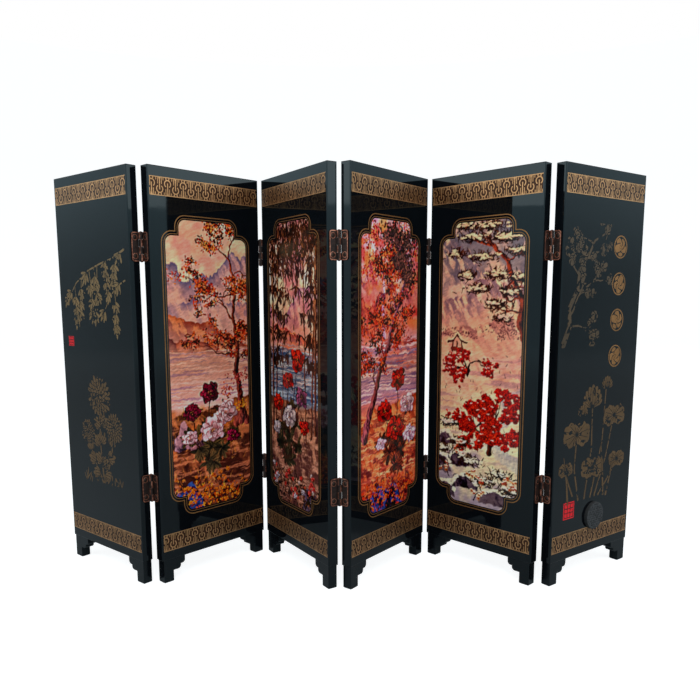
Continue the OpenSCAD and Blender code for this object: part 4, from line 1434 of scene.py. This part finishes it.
class Stencil(Brush):
    """A canvas of one tone, light where the ink goes through."""

    INK, BARE = np.ones(3), np.zeros(3)

    def __init__(self, width, height, seed, per_mm=4):
        super().__init__(width, height, per_mm, seed, 0.0)

    def petal(self, u, v, angle, length, width, blunt, rim=0.55, vein=False):
        """A leaf or petal that keeps clear of what lies under it."""
        back = rim * 0.6
        self.leaf(*toward(u, v, angle, -back), angle, length + 2 * back, width + 2 * rim, self.BARE,
                  self.BARE, 1.0, blunt)
        self.leaf(u, v, angle, length, width, self.INK, self.INK, 1.0, blunt)
        if vein:
            self.line([(u, v), toward(u, v, angle, length * 0.72)], [0.5, 0.3], self.BARE)

    def stem(self, points, widths, rim=0.4):
        widths = np.broadcast_to(np.asarray(widths, float), len(points))
        self.line(points, widths + 2 * rim, self.BARE)
        self.line(points, widths, self.INK)

    def bent_stem(self, base, tip, bend, widths, rim=0.4):
        """A stem whose middle stands aside by bend."""
        self.stem([base, ((base[0] + tip[0]) / 2 + bend, (base[1] + tip[1]) / 2), tip], widths, rim)

    def flower(self, u, v, rings, heart):
        """Rings of petals, outer first. Each ring is (how many, length, width, bluntness)."""
        for count, length, width, blunt in rings:
            turn = self.rng.uniform(0, 6)
            for k in range(count):
                angle = turn + 2 * math.pi * k / count
                self.petal(u, v, angle, length * self.rng.uniform(0.9, 1.08), width, blunt)
        if heart:
            self.line([(u, v), (u + 0.01, v)], heart + 1.0, self.BARE)
            for k in range(7):
                self.line([(u, v), toward(u, v, 2 * math.pi * k / 7, heart)], [0.35, 0.55], self.INK)

    def dry(self, size, low, high):
        """Breaks the ink up, as a brush does when it runs dry."""
        self.glaze(self.BARE, eased(high, low, self.drift(size, 5)))

    def cut(self, left, foot):
        """The sheet of the light parts, with the canvas corner at (left, foot) on the panel."""
        level = self.colour[..., 0] - 0.5
        level[[0, -1], :] = -0.5
        level[:, [0, -1]] = -0.5
        inside = level > 0
        sheets = Sheets()
        spots = {}

        def spot(i, j, k=None, m=None):
            """A corner of the grid, or the crossing between two, as its front and back point."""
            key = (i, j) if k is None else (min((i, j), (k, m)), max((i, j), (k, m)))
            if key not in spots:
                row, column = i, j
                if k is not None:
                    share = np.clip(level[i, j] / (level[i, j] - level[k, m]), CORNER_GAP, 1 - CORNER_GAP)
                    row, column = i + (k - i) * share, j + (m - j) * share
                place = [(left + column / self.per_mm, foot + row / self.per_mm)]
                spots[key] = sheets.add(place), sheets.add(place, True)
            return spots[key]

        near = inside[:-1, :-1] | inside[:-1, 1:] | inside[1:, 1:] | inside[1:, :-1]
        for i, j in np.argwhere(near):
            ring = [(i, j), (i, j + 1), (i + 1, j + 1), (i + 1, j)]
            outline, crossed = [], []
            for p, q in zip(ring, ring[1:] + ring[:1], strict=True):
                if inside[p]:
                    outline.append(spot(*p))
                    crossed.append(False)
                if inside[p] != inside[q]:
                    outline.append(spot(*p, *q))
                    crossed.append(bool(inside[p]))
            sheets.faces.append(tuple(front for front, _ in outline))
            sheets.faces.append(tuple(rear for _, rear in reversed(outline)))
            for at, leaving in enumerate(crossed):
                if leaving:
                    (front, rear), (next_front, next_rear) = outline[at], outline[(at + 1) % len(outline)]
                    sheets.faces.append((next_front, front, rear, next_rear))
        return sheets


def cut_drawing(panel, drawing, size, corner, seed, dryness, ink):
    """Paints a drawing on a stencil, lets the brush run a little dry, and cuts the sheet."""
    stencil = Stencil(*size, seed)
    drawing(stencil)
    stencil.dry(2.2, dryness, dryness + 0.12)
    stencil.cut(*corner).piece(f"panel_{panel}_{drawing.__name__}", panel, ink)
    print(drawing.__name__, "cut")


print("stencils are cut at the half tone")

# %% [markdown]
# ## Gold on the first panel
# A spray of bamboo fills the upper part. Below it stands a chrysanthemum in full flower, with grass at its
# foot. Both are old garden motifs, drawn from petals and stems by number.


# %% Draw the bamboo spray and the chrysanthemum
def bamboo_spray(s):
    """Two twigs from the right, and fans of narrow leaves on the shoots that hang from them."""
    def fan(u, v, lean, count, length):
        for k in range(count):
            angle = lean + (k - (count - 1) / 2) * 0.42 + s.rng.normal(0, 0.07)
            size = length * (1 - 0.16 * abs(k - (count - 1) / 2)) * s.rng.uniform(0.85, 1.1)
            s.petal(u, v, angle, size, 1.8, 2.0, 0.32)

    main = [(66, 54), (54, 49.5), (41, 47), (28, 43.5), (14, 36.5), (4, 27)]
    low = [(66, 37), (58, 34), (50, 28), (44, 20)]
    s.stem(main, [1.3, 1.1, 1.0, 0.9, 0.7, 0.5])
    s.stem(low, [0.9, 0.8, 0.6, 0.4])
    for u, v, lean, reach in ((57, 50.5, -2.0, 13), (47, 48.2, -1.3, 17), (38, 46.3, -2.0, 27),
                              (29, 43.8, -1.3, 24), (20, 39.5, -2.1, 20), (12, 34.5, -1.4, 18),
                              (34, 45.2, -1.0, 15), (55, 32, -1.5, 20)):
        end = (u + reach * math.cos(lean) * 0.35, v - reach)
        s.bent_stem((u, v), end, 0.8, [0.65, 0.55, 0.4], 0.25)
        for share in (0.35, 0.7, 1.0):
            at = (u + (end[0] - u) * share, v + (end[1] - v) * share)
            fan(*at, -SKYWARD + s.rng.normal(0, 0.16), 5, 8.0)
    for u, v in ((62, 52), (46, 47.5), (26, 42), (8, 31), (4, 27), (60, 35), (44, 20)):
        fan(u, v, s.rng.normal(-2.2, 0.3), 5, 8.6)


def chrysanthemum(s):
    """Three stems with lobed leaves, three heads of ringed petals, and grass at the foot."""
    for base, tip, bend in (((25, 3), (24, 52), -1.5), ((26, 3), (38, 36), 2.5), ((24, 3), (10, 30), -2.0)):
        s.bent_stem(base, tip, bend, [1.5, 1.2, 1.0])
    for u, v, lean in ((24, 14, 0.5), (24, 16, 2.6), (22.5, 26, 2.3), (23.5, 28, 0.9), (31, 19, 0.2),
                       (34, 27, 1.0), (17, 16, 2.9), (13, 22, 1.9), (24, 38, 2.7), (24.5, 40, 0.4),
                       (27, 8, -0.1), (21, 8, 3.2)):
        for k in (-2, 2, -1, 1, 0):
            s.petal(u, v, lean + k * 0.42, 8.0 - abs(k) * 1.2, 3.0 - 0.3 * abs(k), 2.2, 0.3, True)
    for u, v, size in ((24, 56, 12.5), (38.5, 38, 9.0), (9.5, 33, 7.5)):
        rings = [(22, size, size * 0.22, 2.6), (18, size * 0.78, size * 0.2, 2.6),
                 (13, size * 0.55, size * 0.18, 2.6), (8, size * 0.32, size * 0.15, 2.6)]
        s.flower(u, v, rings, 0)
    for _ in range(26):
        u, lean = s.rng.uniform(4, 46), s.rng.normal(SKYWARD, 0.45)
        s.petal(u, s.rng.uniform(0.8, 2.5), lean, s.rng.uniform(4, 9), 0.8, 2.0, 0.2)


cut_drawing(1, bamboo_spray, (68, 58), (6.0, 140.5), 5, 0.20, leaf_gold)
cut_drawing(1, chrysanthemum, (50, 72), (14.8, 53.0), 8, 0.24, drawing_gold)

# %% [markdown]
# ## Gold on the last panel
# A plum branch in a fainter, browner ink fills the upper left. Four blossom roundels hang beside it in a
# column, each turned a little. A lotus with its broad leaves stands below, its stems rising from the line
# of the pad.


# %% Draw the plum branch, the roundels and the lotus
def plum_branch(s):
    """A crooked branch with a flower of five petals at each twig's end."""
    tips = []
    trunk = [(2, 2), (7, 12), (6, 22), (13, 33), (14, 44), (22, 52), (27, 60), (36, 64)]
    s.stem(trunk, [4.2, 3.6, 3.1, 2.7, 2.2, 1.8, 1.3, 0.9])
    for start, angle, length, width in (((6, 18), 0.5, 22, 1.5), ((12, 32), 0.2, 26, 1.5),
                                        ((14, 40), 2.2, 14, 1.3), ((20, 50), 0.0, 22, 1.3),
                                        ((8, 12), -0.1, 20, 1.3), ((26, 58), 2.0, 12, 1.1)):
        s.limb(start, angle, length, width, s.INK, s.INK, 0.5, 3, 1, tips)
    for u, v in tips:
        u, v = u + s.rng.normal(0, 0.8), v + s.rng.normal(0, 0.8)
        s.flower(u, v, [(5, s.rng.uniform(2.6, 3.6), 2.8, 4.0)], 0.7)


def roundel(s):
    """A flower of five petals in a ring."""
    middle, reach = s.width / 2, 6.3
    turns = np.linspace(0, 2 * math.pi, 49)
    s.line([toward(middle, middle, a, reach) for a in turns], 0.75, s.INK)
    s.flower(middle, middle, [(5, 5.4, 4.6, 4.0)], 1.5)


def lotus(s):
    """Broad leaves with spokes, an open flower and two buds, and three reeds."""
    for base, tip, bend in (((20, 2), (16, 40), -3), ((26, 2), (30, 60), 3), ((36, 2), (52, 48), 2),
                            ((40, 2), (60, 24), 1), ((16, 2), (5, 26), -1), ((32, 2), (43, 68), 4)):
        s.bent_stem(base, tip, bend, [1.3, 1.1, 0.9])
    for u, v, wide, tall in ((16, 42, 25, 9), (53, 50, 22, 8), (58, 22, 17, 7), (7, 22, 13, 6),
                             (33, 20, 22, 7)):
        turns = np.linspace(0.2, 0.2 + 2 * math.pi, 15)[:-1]
        radii = [math.hypot(wide / 2 * math.cos(a), tall / 2 * math.sin(a)) for a in turns]
        spokes = [(a, radius * s.rng.uniform(0.94, 1.06)) for a, radius in zip(turns, radii)]
        for rim, ink in ((0.6, s.BARE), (0.0, s.INK)):
            for angle, reach in spokes:
                s.leaf(u, v, angle, reach + rim, 2 * rim + reach * 0.62, ink, ink, 1.0, 3.5)
        for angle, reach in spokes:
            s.line([(u, v), toward(u, v, angle, 0.86 * reach)], [0.45, 0.3], s.BARE)
    for u, v, size in ((30, 62, 12), (44, 70, 7), (21, 55, 6)):
        for k in (-4, 4, -3, 3, -2, 2, -1, 1, 0):
            length = size * (1 - 0.05 * abs(k))
            s.petal(u, v - size * 0.3, SKYWARD + k * 0.34, length, size * 0.36, 2.2, 0.35, k == 0)
    for u, tall, lean in ((10, 30, 1.75), (48, 26, 1.35), (45, 34, 1.7)):
        tip = toward(u, 0, lean, tall)
        s.stem([(u, 0.8), ((u + tip[0]) / 2 + 0.8, tip[1] / 2), tip], [1.7, 1.3, 0.4], 0.3)


cut_drawing(6, plum_branch, (46, 70), (1.8, 139.5), 11, 0.28, faint_gold)
cut_drawing(6, lotus, (68, 78), (4.3, 46.5), 14, 0.22, drawing_gold)
ROUNDEL, COLUMN = 14.4, 54.5
for number, height in enumerate((197.0, 175.6, 154.3, 132.8), 1):
    stencil = Stencil(ROUNDEL, ROUNDEL, 20 + number)
    roundel(stencil)
    stencil.cut(COLUMN - ROUNDEL / 2, height - ROUNDEL / 2).piece(f"panel_6_roundel_{number}", 6, line_gold)
print("4 roundels cut")

# %% [markdown]
# ## Red squares
# A small red square stands beside the drawings of each end panel, with a lattice of three by three fields
# left bare in the red. The ink is a matte vermilion that sits on the lacquer.

# %% Cut the red squares
red_ink = Finish("red_ink")
grainy = red_ink.noise(0.0012, 4.0)
red_ink.done(Base_Color=red_ink.blend(grainy, (0.62, 0.006, 0.012), (0.86, 0.022, 0.032)),
             Roughness=0.5 + 0.2 * grainy, IOR=LACQUER_IOR)


def red_square(size, seed):
    """The stencil of a square this many mm wide, with its lattice."""
    s = Stencil(size + 1, size + 1, seed, 6)
    low, high, middle = 0.5, size + 0.5, size / 2 + 0.5
    s.line([(low + size / 2, low), (low + size / 2, high)], size, s.INK, soft=0.1)
    s.glaze(s.BARE, 1 - eased(size / 2, size / 2 - 0.2, np.maximum(abs(s.u - middle), abs(s.v - middle))))
    inner = size * 0.4
    first, last = middle - inner, middle + inner
    thin = size * 0.05
    s.line([(first, first), (last, first), (last, last), (first, last), (first, first)], thin, s.BARE,
           soft=0.1)
    for off in (-0.13 * size, 0.13 * size):
        s.line([(middle + off, first), (middle + off, last)], thin, s.BARE, soft=0.1)
        s.line([(first, middle + off), (last, middle + off)], thin, s.BARE, soft=0.1)
    return s


red_square(6.2, 31).cut(6.9, 137.9).piece("panel_1_red_square", 1, red_ink.material)
red_square(10.4, 32).cut(10.1, 37.8).piece("panel_6_red_square", 6, red_ink.material)
print("2 red squares cut")

# %% [markdown]
# ## End
# Every piece is made. The prints must not make the screen larger than the packed model.

# %% Finish
print("all pieces made")
